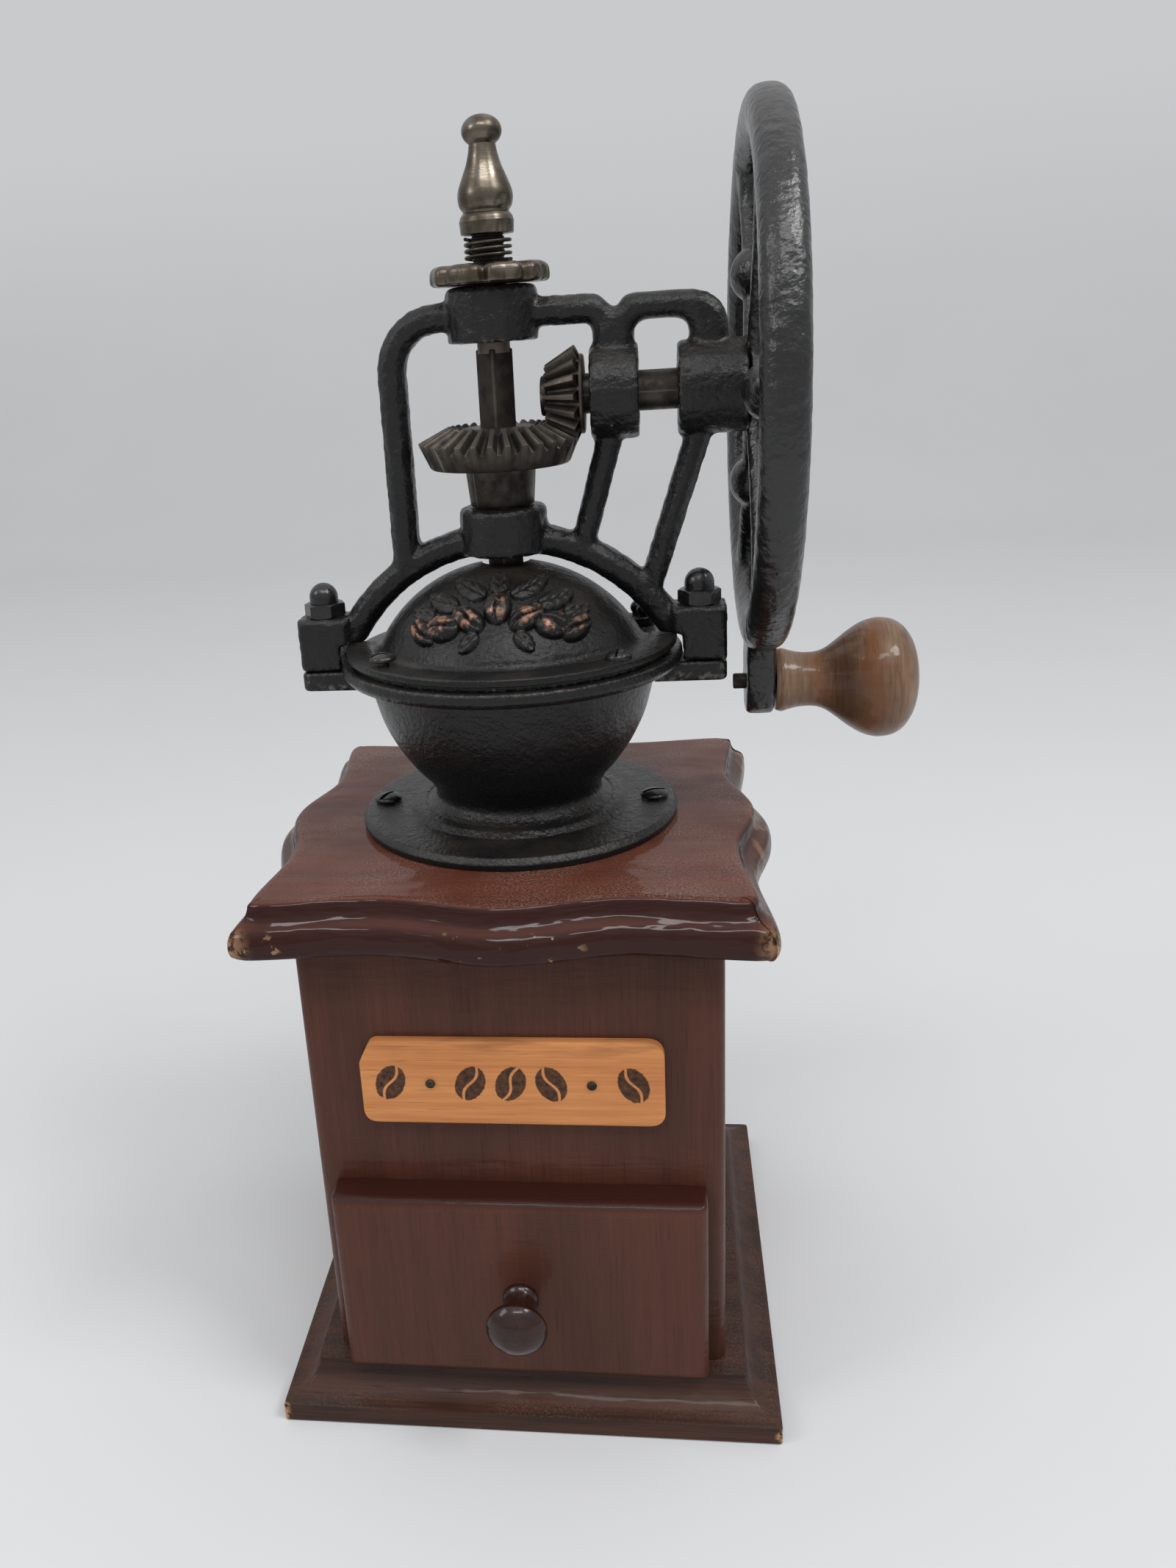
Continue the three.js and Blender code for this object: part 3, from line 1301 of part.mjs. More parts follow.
// Loop over the gap between the two shaft bosses.
function loopShape() {
  const left = nearBossStart + EMBED;
  const inLeft = nearBossEnd - EMBED;
  const inRight = farBossStart + EMBED * 3;
  const right = farBossEnd - FAR_BOSS_LENGTH / 4;
  const under = bossTop + LOOP_OPENING;
  const corner = BOSS_RADIUS;
  const fillet = TOP_BAR_BAND / 2;
  const low = shaftZ + BOSS_RADIUS / 2;
  const shape = new THREE.Shape();
  shape.moveTo(left, low);
  shape.lineTo(inLeft, low);
  shape.lineTo(inLeft, under - fillet);
  shape.quadraticCurveTo(inLeft, under, inLeft + fillet, under);
  shape.lineTo(inRight - fillet, under);
  shape.quadraticCurveTo(inRight, under, inRight, under - fillet);
  shape.lineTo(inRight, low);
  shape.lineTo(right, low);
  shape.lineTo(right, barTop - corner);
  shape.quadraticCurveTo(right, barTop - EMBED / 2, right - corner, barTop - EMBED / 2);
  shape.lineTo(inLeft, barTop - EMBED / 2);
  shape.quadraticCurveTo(inLeft - fillet, barTop - EMBED / 2, inLeft - fillet, barTop - fillet);
  shape.lineTo(left, barTop - fillet * 1.5);
  return shape;
}

function legShape(topMiddle, lean, archPoint) {
  const half = LEG_WIDTH / 2;
  const top = shaftZ - BOSS_RADIUS / 2;
  const drop = (top - archPoint) / (shaftZ - BOSS_RADIUS - archPoint);
  return outline([
    [topMiddle - half, top],
    [topMiddle - half - lean * drop, archPoint],
    [topMiddle + half - lean * drop - EMBED / 2, archPoint],
    [topMiddle + half, top],
  ]);
}

const bossAlongX = (start, length) =>
  alongX(
    turned(
      [
        [0, start],
        [BOSS_RADIUS - EMBED / 2, start],
        [BOSS_RADIUS, start + EMBED / 2],
        [BOSS_RADIUS, start + length],
        [0, start + length],
      ],
      MEDIUM,
    ),
  ).translate(0, 0, shaftZ);

const bossAlongZ = (bottom, height) =>
  turned(
    [
      [0, bottom],
      [BOSS_RADIUS, bottom],
      [BOSS_RADIUS, bottom + height - EMBED],
      [BOSS_RADIUS - EMBED, bottom + height],
      [0, bottom + height],
    ],
    MEDIUM,
  );

function yokeFoot(side) {
  const shape = roundedRectangle(footInner, earReach, feetPlane, footTop, [0, 0, 0, 0]);
  const foot = upright(shape, EAR_DEPTH, EMBED);
  return side < 0 ? foot.rotateZ(Math.PI) : foot;
}

function yoke() {
  const nearMiddle = nearBossStart + NEAR_BOSS_LENGTH / 2;
  const farMiddle = farBossStart + FAR_BOSS_LENGTH * 0.4;
  const casting = join(
    upright(archShape()),
    upright(postShape()),
    upright(loopShape()),
    upright(legShape(nearMiddle, NEAR_LEG_LEAN, archCentre + archInner)),
    upright(legShape(farMiddle, FAR_LEG_LEAN, archCentre + archInner * 0.76)),
    yokeFoot(-1),
    yokeFoot(1),
    bossAlongZ(lowerBossBottom, LOWER_BOSS_HEIGHT),
    bossAlongZ(upperBossBottom, UPPER_BOSS_HEIGHT),
    bossAlongX(nearBossStart, NEAR_BOSS_LENGTH),
    bossAlongX(farBossStart, FAR_BOSS_LENGTH),
  );
  const shaftBore = alongX(drill(SHAFT_RADIUS + RUNNING_GAP, nearBossStart - OVERRUN, farBossEnd + OVERRUN, MEDIUM));
  const notch = drill(rimRadius + SEAT_GAP, feetPlane - OVERRUN, skirtTop + SEAT_GAP, FINE);
  return cut(
    casting,
    shaftBore.translate(0, 0, shaftZ),
    drill(GEAR_JOURNAL_RADIUS + RUNNING_GAP, domeTop, lowerBossTop + OVERRUN, MEDIUM),
    drill(SPINDLE_ROD_RADIUS + RUNNING_GAP, upperBossBottom - OVERRUN, upperBossTop + OVERRUN, COARSE),
    studHole(-1),
    studHole(1),
    notch,
  );
}

// Studs through the ears and feet, and the acorn nuts on them
const studTop = footTop + ACORN_HEIGHT * 0.6;

const earStud = (side) =>
  rod(STUD_RADIUS, rimBottom - EAR_THICKNESS, studTop, COARSE).translate(side * studPlace, 0, 0);

function acornNut(side) {
  const round = ACORN_DOME_RADIUS;
  const hexTop = footTop + ACORN_HEX_HEIGHT;
  const domeStart = footTop + ACORN_HEIGHT - round;
  const profile = [[0, hexTop - EMBED], [round, hexTop - EMBED]];
  const STEPS = 5;
  for (let i = 0; i <= STEPS; i++) {
    const angle = ((i / STEPS) * Math.PI) / 2;
    profile.push([round * Math.cos(angle), domeStart + round * Math.sin(angle)]);
  }
  const hole = drill(STUD_RADIUS + RUNNING_GAP, footTop - OVERRUN, studTop + SEAT_GAP);
  const nut = cut(join(hexagon(ACORN_FLATS, footTop, ACORN_HEX_HEIGHT), turned(profile, COARSE)), hole);
  return nut.translate(side * studPlace, 0, 0);
}

// Assembly: the case
add("base_board", baseBoard(), finishes.baseWood);
add("case_front", caseFront(), finishes.wood);
add("case_back", caseBack(), finishes.wood);
add("case_left", caseWall(-1), finishes.wood);
add("case_right", caseWall(1), finishes.wood);
add("top_board", topBoard(), finishes.boardWood);
add("front_plaque", plaque(), finishes.plaqueWood);
add("plaque_nail_left", nail(-nailPlace), finishes.bronze);
add("plaque_nail_right", nail(nailPlace), finishes.bronze);

// Assembly: the drawer
const drawer = new THREE.Group();
mill.add(drawer);
add("drawer_front", drawerFront(), finishes.wood, drawer);
add("drawer_left", drawerSide(-1), finishes.drawerWood, drawer);
add("drawer_right", drawerSide(1), finishes.drawerWood, drawer);
add("drawer_back", drawerBack(), finishes.drawerWood, drawer);
add("drawer_bottom", drawerBottom(), finishes.drawerWood, drawer);
add("drawer_knob", drawerKnob(), finishes.knobWood, drawer);
add("knob_screw", knobScrew(), finishes.steel, drawer);

// Assembly: the hopper, its cover and the burrs
add("hopper", hopper(), finishes.iron);
for (const [name, side] of [["left", -1], ["right", 1]]) {
  const flangeScrew = slottedScrew(FLANGE_SCREW_RADIUS, FLANGE_SCREW_HEAD_RADIUS, FLANGE_SCREW_HEAD, FLANGE_SCREW_LENGTH);
  flangeScrew.translate(side * flangeScrewPlace, 0, flangeTop);
  add("hopper_screw_" + name, flangeScrew, finishes.iron);
  const domeScrew = slottedScrew(
    DOME_SCREW_RADIUS,
    DOME_SCREW_HEAD_RADIUS,
    DOME_SCREW_HEAD,
    SKIRT_THICKNESS + COVER_THICKNESS,
  );
  domeScrew.translate(0, 0, skirtTop);
  add("dome_screw_" + name, placeOnSkirt(domeScrew, side), finishes.iron);
  add("ear_stud_" + name, earStud(side), finishes.steel);
  add("acorn_nut_" + name, acornNut(side), finishes.iron);
}
add("cover_ring", coverRing(), finishes.iron);
add("front_dome", frontDome(), finishes.iron);
add("outer_burr", outerBurr(), finishes.steel);
add("yoke", yoke(), finishes.iron);

const lid = new THREE.Group();
mill.add(lid);
add("rear_lid", rearLid(), finishes.iron, lid);
add("lid_rivet_near", lidRivet(-1), finishes.iron, lid);
add("lid_rivet_far", lidRivet(1), finishes.iron, lid);

// Assembly: the spindle with its burr and adjuster
const grinder = new THREE.Group();
mill.add(grinder);
add("bevel_gear", bevelGear(), finishes.bronze, grinder);
add("spindle", spindle(), finishes.bronze, grinder);
add("inner_burr", innerBurr(), finishes.steel, grinder);
add("burr_washer", burrWasher(), finishes.steel, grinder);
add("burr_nut", burrNut(), finishes.steel, grinder);
add("adjusting_nut", adjustingNut(), finishes.brass, grinder);
add("lock_spring", lockSpring(), finishes.steel, grinder);
add("finial", finial(), finishes.brass, grinder);

// Assembly: the wheel and its shaft, made about the X axis and raised to the shaft's height
const wheel = new THREE.Group();
wheel.position.z = shaftZ;
mill.add(wheel);
add("wheel_shaft", wheelShaft(), finishes.bronze, wheel);
add("bevel_pinion", bevelPinion(), finishes.bronze, wheel);
add("flywheel", flywheel(), finishes.wheelIron, wheel);
add(
  "wheel_washer",
  ringAlongX(WHEEL_WASHER_RADIUS, SHAFT_THREAD_RADIUS + RUNNING_GAP, hubEnd, washerEnd),
  finishes.steel,
  wheel,
);
add("wheel_nut", wheelNut(), finishes.steel, wheel);
add("handle_pin", handlePin(), finishes.bronze, wheel);
add("handle_grip", handleGrip(), finishes.gripWood, wheel);

export default mill;
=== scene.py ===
"""Looks of the flywheel coffee mill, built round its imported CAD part, in millimetres unless said."""

import json
from math import acos, asin, atan2, cos, hypot, pi, radians, sin, sqrt, tan

import bmesh
import bpy
import numpy as np
from mathutils import Matrix, Vector


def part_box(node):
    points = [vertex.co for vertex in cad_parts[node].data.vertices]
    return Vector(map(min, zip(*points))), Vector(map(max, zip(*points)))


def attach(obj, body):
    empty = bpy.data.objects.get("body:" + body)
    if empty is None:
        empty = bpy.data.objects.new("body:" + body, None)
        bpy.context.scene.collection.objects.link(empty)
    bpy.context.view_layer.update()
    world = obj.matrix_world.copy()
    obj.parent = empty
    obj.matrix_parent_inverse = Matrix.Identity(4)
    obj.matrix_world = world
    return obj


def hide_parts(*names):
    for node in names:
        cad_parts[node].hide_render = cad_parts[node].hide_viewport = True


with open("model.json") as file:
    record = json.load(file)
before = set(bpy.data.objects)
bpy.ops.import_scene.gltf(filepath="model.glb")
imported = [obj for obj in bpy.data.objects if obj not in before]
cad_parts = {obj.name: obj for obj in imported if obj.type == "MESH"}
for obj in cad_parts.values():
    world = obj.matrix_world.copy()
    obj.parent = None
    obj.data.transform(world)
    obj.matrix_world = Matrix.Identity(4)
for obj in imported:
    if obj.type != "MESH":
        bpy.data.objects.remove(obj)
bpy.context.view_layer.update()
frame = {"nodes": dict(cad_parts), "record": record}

MM = 0.001
QUARTER = pi / 2
# Points closer than this are joined
WELD = 0.001
# Pieces shorter than this take the smoother finish of fasteners
SMALL = 16.0
BODY_OF = {n: body for body, nodes in frame["record"]["behaviour"]["bodies"].items() for n in nodes}
SLOT_OF = {part["node"]: part["material_slot"] for part in frame["record"]["subparts"]}


def span(node):
    """Lowest and highest corner of a CAD node in millimetres."""
    low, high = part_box(node)
    return low / MM, high / MM


# Materials: a small set of node helpers
FINISHES = {}


class Finish:
    """A material whose textures are measured in millimetres on the piece itself."""

    def __init__(self, name):
        FINISHES[name] = self
        self.material = bpy.data.materials.new(name)
        self.material.use_nodes = True
        self.tree = self.material.node_tree
        self.shader = self.tree.nodes["Principled BSDF"]
        self.place = self.vector("MULTIPLY", self.node("TexCoord").outputs["Object"], (1 / MM,) * 3)

    def put(self, socket, value):
        if isinstance(value, bpy.types.NodeSocket):
            self.tree.links.new(value, socket)
        else:
            socket.default_value = value

    def set(self, name, value):
        self.put(self.shader.inputs[name], value)

    def node(self, kind, inputs=()):
        """A new node whose inputs, each by its place or name, take a value or a link."""
        node = self.tree.nodes.new("ShaderNode" + kind)
        for key, value in dict(inputs).items():
            self.put(node.inputs[key], value)
        return node

    def vector(self, operation, a, b):
        node = self.node("VectorMath", {0: a, 1: b})
        node.operation = operation
        return node.outputs[0]

    def math(self, operation, a, b=0.0, c=0.0):
        node = self.node("Math", {0: a, 1: b, 2: c})
        node.operation = operation
        return node.outputs[0]

    def times(self, first, *others):
        for other in others:
            first = self.math("MULTIPLY", first, other)
        return first

    def axes(self, vector=None):
        node = self.node("SeparateXYZ", {0: self.place if vector is None else vector})
        return node.outputs[0], node.outputs[1], node.outputs[2]

    def noise(self, scale, detail=3.0, offset=(0, 0, 0), stretch=(1, 1, 1), rough=0.55):
        place = self.vector("ADD", self.vector("MULTIPLY", self.place, stretch), offset)
        inputs = {"Vector": place, "Scale": scale, "Detail": detail, "Roughness": rough}
        return self.node("TexNoise", inputs).outputs["Fac"]

    def step(self, value, low, high):
        """Zero at low, one at high, smooth between, whichever is the greater."""
        node = self.node("MapRange", {"Value": value, "From Min": min(low, high), "From Max": max(low, high),
                                      "To Min": float(low > high), "To Max": float(low < high)})
        node.interpolation_type = "SMOOTHSTEP"
        return node.outputs["Result"]

    def between(self, value, low, high):
        """A share mapped to a range."""
        return self.math("MULTIPLY_ADD", value, high - low, low)

    def mix(self, share, a, b):
        node = self.node("Mix")
        node.data_type = "RGBA"
        self.put(node.inputs["Factor"], share)
        self.put(node.inputs["A"], a)
        self.put(node.inputs["B"], b)
        return node.outputs["Result"]

    def bump(self, height, depth, normal=None):
        node = self.node("Bump", {"Distance": depth * MM, "Height": height})
        if normal is not None:
            self.put(node.inputs["Normal"], normal)
        return node.outputs["Normal"]

    def attribute(self, name):
        node = self.node("Attribute")
        node.attribute_name = name
        return node.outputs["Fac"]

    def edges(self):
        """A share that rises above a half on sharp outward edges."""
        return self.node("NewGeometry").outputs["Pointiness"]

    def facing_up(self):
        return self.axes(self.node("NewGeometry").outputs["Normal"])[2]


def rgb(red, green, blue):
    """An sRGB colour of 0 to 255 as linear RGBA."""
    linear = [((c / 255 + 0.055) / 1.055) ** 2.4 if c > 10 else c / 255 / 12.92 for c in (red, green, blue)]
    return (*linear, 1.0)


def cast_iron(name, paint, nick_and_glint_colour, roughness, shine, pebbles, dust, lumpy=0.45, whole=False, rubbed=False):
    """Painted casting: a pebbled skin, soft lumps and dust; if whole, chipped edges that double as a painted
    edge highlight; bare relief if rubbed.
    """
    f = Finish(name)
    patches = f.noise(0.06, 3, (31, 7, 3))
    speckle = f.between(f.noise(2.2, 3, (6, 1, 2)), 0.3, 1.0)
    settled = f.times(f.step(f.facing_up(), 0.25, 0.95), f.step(patches, 0.3, 0.75), speckle, dust)
    colour = f.mix(settled, paint, DUST)
    if whole:
        # Lighter colour on sharp edges, broken by noise: chipped paint, and also a painted highlight along
        # the edges
        nicks_and_glints = f.times(f.step(f.noise(0.6, 5, (5, 9, 2)), 0.5, 0.64), f.step(f.edges(), 0.515, 0.56))
        colour = f.mix(nicks_and_glints, colour, nick_and_glint_colour)
    if rubbed:
        ragged = f.between(f.noise(0.42, 5, (2, 2, 5)), -4.0, 4.0)
        bare = f.step(f.math("ADD", f.attribute("relief"), ragged), 2.0, 4.2)
        bare = f.times(bare, f.step(f.attribute("relief"), 0.3, 0.9))
        colour = f.mix(bare, colour, COPPER)
        f.set("Metallic", f.times(bare, 0.5))
    f.set("Base Color", colour)
    f.set("Specular IOR Level", shine)
    f.set("Roughness", f.between(f.noise(0.4, 4, (3, 3, 8)), roughness - 0.14, roughness + 0.14))
    f.set("Normal", f.bump(f.noise(0.9, 4), pebbles, f.bump(f.noise(0.2, 2), lumpy)))


def turned_metal(name, colour, shade, roughness, stretch, metallic=1.0, bright=None):
    """Metal off the lathe, with fine tool rings, darker tarnish and, where asked, brighter edges."""
    f = Finish(name)
    rings = f.noise(1.6, 2, stretch=stretch)
    tarnish = f.step(f.noise(0.22, 5, (2, 4, 6)), 0.34, 0.66)
    body = f.mix(tarnish, colour, shade)
    if bright:
        body = f.mix(f.step(f.edges(), 0.53, 0.64), body, bright)
    f.set("Base Color", body)
    f.set("Metallic", metallic)
    worn = f.math("ADD", f.times(rings, 0.4), f.times(tarnish, 0.6))
    f.set("Roughness", f.between(worn, roughness - 0.06, roughness + 0.18))
    f.set("Normal", f.bump(rings, 0.04))


def wood(name, light, dark, grain, roughness, coat, figure=1.0, contrast=1.0, marks=(),
         ripples=0.35, sheen=0.16):
    """Stained and varnished wood: grain, growth bands, pores, and marks (colour, mask, its values) on top."""
    f = Finish(name)
    fine = [0.5 * g if g < 1 else 1 for g in grain]
    bands = f.noise(0.14 * figure, 3, stretch=grain, offset=(4, 11, 6), rough=0.5)
    fibre = f.noise(1.3, 4, stretch=fine, offset=(9, 1, 5))
    cloud = f.noise(0.022, 3, (1, 2, 3))
    share = f.math("ADD", f.times(bands, 0.55), f.times(fibre, 0.45))
    spread = 0.16 / contrast
    share = f.math("ADD", f.step(share, 0.5 - spread, 0.5 + spread), f.between(cloud, -0.5, 0.5))
    colour = f.mix(f.math("MINIMUM", f.math("MAXIMUM", share, 0.0), 1.0), light, dark)
    pores = f.step(f.noise(2.6, 2, stretch=fine, offset=(0, 8, 2)), 0.64, 0.74)
    colour = f.mix(f.times(pores, 0.35), colour, [c * 0.4 for c in dark[:3]] + [1])
    for paint, mask, *values in marks:
        colour = f.mix(mask(f, *values), colour, paint)
    f.set("Base Color", colour)
    f.set("Roughness", f.between(f.noise(0.12, 4, (7, 7, 1)), roughness - 0.09, roughness + 0.11))
    f.set("Specular IOR Level", sheen)
    f.set("Coat Weight", coat)
    f.set("Coat Roughness", 0.09)
    ripple = f.bump(f.noise(0.24, 2, stretch=(0.22, 0.22, 1), offset=(6, 2, 9)), ripples)
    f.set("Coat Normal", ripple)
    f.set("Normal", f.bump(f.math("SUBTRACT", fibre, pores), 0.06, ripple))


# Masks: each gives the share of a mark over the surface
def corner_wear(f, node, reach):
    """Bare wood at the upright corners of a square board, broken up by noise."""
    x, y = f.axes()[:2]
    tip = 2 * span(node)[1].x
    corner = f.math("ADD", f.math("ABSOLUTE", x), f.math("ABSOLUTE", y))
    broken = f.step(f.noise(0.5, 5, (8, 3, 1)), 0.42, 0.56)
    return f.times(f.step(corner, tip - reach, tip - reach * 0.3), broken)


def rim_wear(f, node, inset, low_share, high_share):
    """Small bare places along the moulded rim of a board."""
    low, high = span(node)
    x, y, z = f.axes()
    out = f.math("MAXIMUM", f.math("ABSOLUTE", x), f.math("ABSOLUTE", y))
    bottom, top = (low.z + share * (high.z - low.z) for share in (low_share, high_share))
    aside = f.step(out, high.x - inset, high.x - inset + 2)
    above, below = f.step(z, bottom - 1, bottom + 1), f.step(z, top + 1, top - 1)
    return f.times(aside, above, below, f.step(f.noise(0.22, 6, (14, 3, 7)), 0.63, 0.66))


def rubbed_side(f, node):
    """Stain rubbed thin along the board's right-hand edge."""
    half = span(node)[1].x
    thin = f.between(f.step(f.noise(0.2, 5, (9, 9, 2)), 0.48, 0.66), 0.08, 0.6)
    return f.times(f.step(f.axes()[0], half - 9, half - 4), thin)


def facing(f, start, end):
    """A share over how far a face looks up."""
    return f.step(f.facing_up(), start, end)


def dust_on_top(f, amount):
    """Pale dust in specks and drifts on what faces up."""
    drift = f.step(f.noise(0.03, 3, (3, 9, 4)), 0.3, 0.7)
    specks = f.step(f.noise(1.6, 3, (4, 4, 1)), 0.4, 0.7)
    return f.times(facing(f, 0.8, 0.99), drift, specks, amount)


def burnt_beans(f, node):
    """A row of coffee beans burnt into the plaque between its nails, each with a pale crease."""
    spacing, tilt, half_long, half_wide = 10.65, 0.4, 5.4, 3.9
    low, high = span(node)
    x, _, z = f.axes()
    rough = f.between(f.noise(1.1, 3, (5, 5, 5)), -0.16, 0.16)
    up = f.math("SUBTRACT", z, (low.z + high.z) / 2)
    pair = f.math("SUBTRACT", f.math("MODULO", f.math("ABSOLUTE", x), 2 * spacing), spacing)
    burnt = 0.0
    for across, lean in ((x, tilt), (pair, -tilt)):
        c, s = cos(lean), sin(lean)
        u = f.math("MULTIPLY_ADD", across, s, f.times(up, c))
        v = f.math("MULTIPLY_ADD", across, c, f.times(up, -s))
        shares = f.times(u, 1 / half_long), f.times(v, 1 / half_wide)
        oval = [f.math("POWER", share, 2.0) for share in shares]
        inside = f.step(f.math("ADD", f.math("ADD", *oval), rough), 1.06, 0.9)
        bend = f.times(f.math("SINE", f.times(u, 0.62)), 0.75)
        crease = f.step(f.math("ABSOLUTE", f.math("ADD", v, bend)), 0.25, 0.5)
        burnt = f.math("MAXIMUM", burnt, f.times(inside, crease))
    return f.times(burnt, f.between(f.noise(0.7, 3, (1, 7, 3)), 0.7, 1.15))


def scorched_edge(f, node):
    """Browner streaks near the upper edge of the plaque."""
    top, reach = span(node)[1].z, 7.0
    streaks = f.step(f.noise(0.3, 3, stretch=(0.15, 1, 1), offset=(2, 5, 8)), 0.45, 0.7)
    return f.times(f.step(f.axes()[2], top - reach, top - 1), streaks, 0.7)


def dark_rings(f, node, *places):
    """Darker rings round the grip, each (share of its length, half width, strength)."""
    low, high = span(node)
    swayed = f.math("ADD", f.axes()[0], f.between(f.noise(0.07, 3, (3, 6, 2)), -5.0, 5.0))
    total = 0.0
    for share, half, strength in places:
        away = f.math("ABSOLUTE", f.math("SUBTRACT", swayed, low.x + share * (high.x - low.x)))
        total = f.math("MAXIMUM", total, f.times(f.step(away, half, half * 0.15), strength))
    return f.times(total, f.between(f.noise(0.5, 4, stretch=(1, 0.3, 0.3)), 0.4, 1.1))


BARE_WOOD = rgb(168, 130, 94)
DUST = rgb(104, 94, 82)
COPPER = rgb(164, 122, 102)
BLACK = rgb(18, 18, 19)
# Pale grey of chipped edges, also used as a painted edge highlight
NICKED_AND_GLINT = rgb(96, 92, 88)


def finishes():
    cast_iron("black_iron", BLACK, NICKED_AND_GLINT, 0.28, 0.36, 0.34, 0.2, whole=True)
    cast_iron("black_iron_relief", BLACK, NICKED_AND_GLINT, 0.3, 0.3, 0.24, 0.22, rubbed=True)
    cast_iron("black_iron_small", rgb(20, 20, 21), NICKED_AND_GLINT, 0.24, 0.5, 0.12, 0.2)
    # The wheel's paler edge colour is chipped paint and also a painted edge glint
    cast_iron("wheel_iron", BLACK, rgb(112, 108, 104), 0.21, 0.6, 0.24, 0.1, lumpy=0.8, whole=True)
    turned_metal("dark_bronze", rgb(70, 65, 59), rgb(42, 38, 35), 0.42, (1, 1, 1), 0.8, rgb(124, 113, 101))
    turned_metal("old_brass", rgb(114, 106, 96), rgb(78, 71, 62), 0.24, (0.03, 0.03, 2))
    turned_metal("grey_steel", rgb(80, 76, 70), rgb(48, 43, 39), 0.34, (1, 1, 1))
    # The dark red-brown on faces that look up is painted shade: it darkens the drawer front's rounded top
    # edge as if it mirrored the dark case above it
    wood("case_wood", rgb(84, 49, 37), rgb(66, 38, 29), (1, 1, 0.05), 0.4, 0.12, 0.7, 0.6,
         [(rgb(50, 23, 16), facing, 0.3, 0.8)])
    # The deep colour on faces that look out rather than up is painted shade: it darkens the board's moulded
    # edge as if it mirrored dark surroundings
    wood("board_wood", rgb(96, 50, 36), rgb(72, 38, 29), (0.06, 1, 1), 0.5, 0.5, 0.8, 0.6,
         [(rgb(44, 14, 7), facing, 0.97, 0.6), (rgb(138, 118, 106), dust_on_top, 0.6),
          (BARE_WOOD, corner_wear, "top_board", 14), (BARE_WOOD, rim_wear, "top_board", 5, 0.05, 0.55),
          (rgb(138, 104, 76), rubbed_side, "top_board")], ripples=0.9, sheen=0.03)
    wood("base_wood", rgb(70, 43, 32), rgb(45, 30, 25), (0.06, 1, 1), 0.46, 0.15, 1.4, 1.0,
         [(rgb(120, 104, 92), dust_on_top, 0.25), (BARE_WOOD, corner_wear, "base_board", 2.5),
          (BARE_WOOD, rim_wear, "base_board", 1.5, -0.3, 0.02)])
    wood("plaque_wood", rgb(206, 141, 88), rgb(180, 114, 68), (0.05, 1, 1), 0.55, 0.0, 1.6, 0.8,
         [(rgb(150, 98, 60), scorched_edge, "front_plaque"), (rgb(50, 35, 30), burnt_beans, "front_plaque")])
    wood("drawer_wood", rgb(186, 152, 110), rgb(160, 124, 84), (0.12, 0.06, 1), 0.65, 0.0)
    wood("knob_wood", rgb(50, 26, 19), rgb(27, 15, 12), (1, 0.1, 1), 0.24, 0.45)
    wood("grip_wood", rgb(128, 102, 80), rgb(94, 68, 50), (1, 0.2, 0.2), 0.34, 0.3, 0.7, 1.0,
         [(rgb(110, 70, 44), dark_rings, "handle_grip", (0.3, 4, 0.8), (0.66, 4.5, 0.9)),
          (rgb(66, 42, 30), dark_rings, "handle_grip", (0.45, 6, 0.8), (0.95, 3, 0.6))])


finishes()


# Meshes: points, radii and heights are in millimetres
def linked(name, data):
    """A new object in the scene."""
    obj = bpy.data.objects.new(name, data)
    bpy.context.scene.collection.objects.link(obj)
    return obj


def dress(obj, finish):
    obj.data.materials.clear()
    obj.data.materials.append(finish.material)


def settle(obj):
    """Turns an object's modifiers into its mesh."""
    bpy.context.view_layer.update()
    mesh = bpy.data.meshes.new_from_object(obj.evaluated_get(bpy.context.evaluated_depsgraph_get()))
    obj.modifiers.clear()
    obj.data = mesh
    return obj


def smooth(obj, angle=32):
    """Smooth shading that keeps edges sharper than an angle in degrees."""
    obj.data.shade_smooth()
    obj.data.set_sharp_from_angle(angle=radians(angle))
    return obj


def weld(mesh, outwards=False):
    """Joins a mesh's doubled points, and turns its faces outwards where asked."""
    form = bmesh.new()
    form.from_mesh(mesh)
    bmesh.ops.remove_doubles(form, verts=form.verts, dist=WELD * MM)
    if outwards:
        bmesh.ops.recalc_face_normals(form, faces=form.faces)
    form.to_mesh(mesh)
    form.free()


def mesh_object(name, verts, faces, angle=32):
    mesh = bpy.data.meshes.new(name)
    mesh.from_pydata((np.asarray(verts) * MM).tolist(), [], faces)
    weld(mesh, outwards=True)
    return smooth(linked(name, mesh), angle)


def grid(name, points, closed=False, angle=32):
    """A surface through an array of rows of points, with caps on the end rows unless it closes on itself."""
    points = np.asarray(points, float)
    rows, columns = points.shape[:2]
    index = np.arange(rows * columns).reshape(rows, columns)
    faces = []
    for i in range(rows if closed else rows - 1):
        for j in range(columns):
            k, m = (i + 1) % rows, (j + 1) % columns
            faces.append([int(index[i, j]), int(index[i, m]), int(index[k, m]), int(index[k, j])])
    if not closed:
        faces += [index[0].tolist(), index[-1].tolist()]
    return mesh_object(name, points.reshape(-1, 3), faces, angle)


def turned(name, profile, segments=96, angle=32):
    """A piece turned about Z from a closed profile of (radius, height)."""
    p = np.asarray(profile, float)
    turn = np.linspace(0, 2 * pi, segments, endpoint=False)
    radius, height = np.maximum(p[:, 0], 0), p[:, 1]
    rows = [np.stack([radius * cos(a), radius * sin(a), height], -1) for a in turn]
    return grid(name, rows, closed=True, angle=angle)


def tube(name, inner, outer, low, high, segments=48):
    """A plain ring turned about Z, or a rod where the inner radius is 0."""
    return turned(name, [(inner, low), (outer, low), (outer, high), (inner, high)], segments)


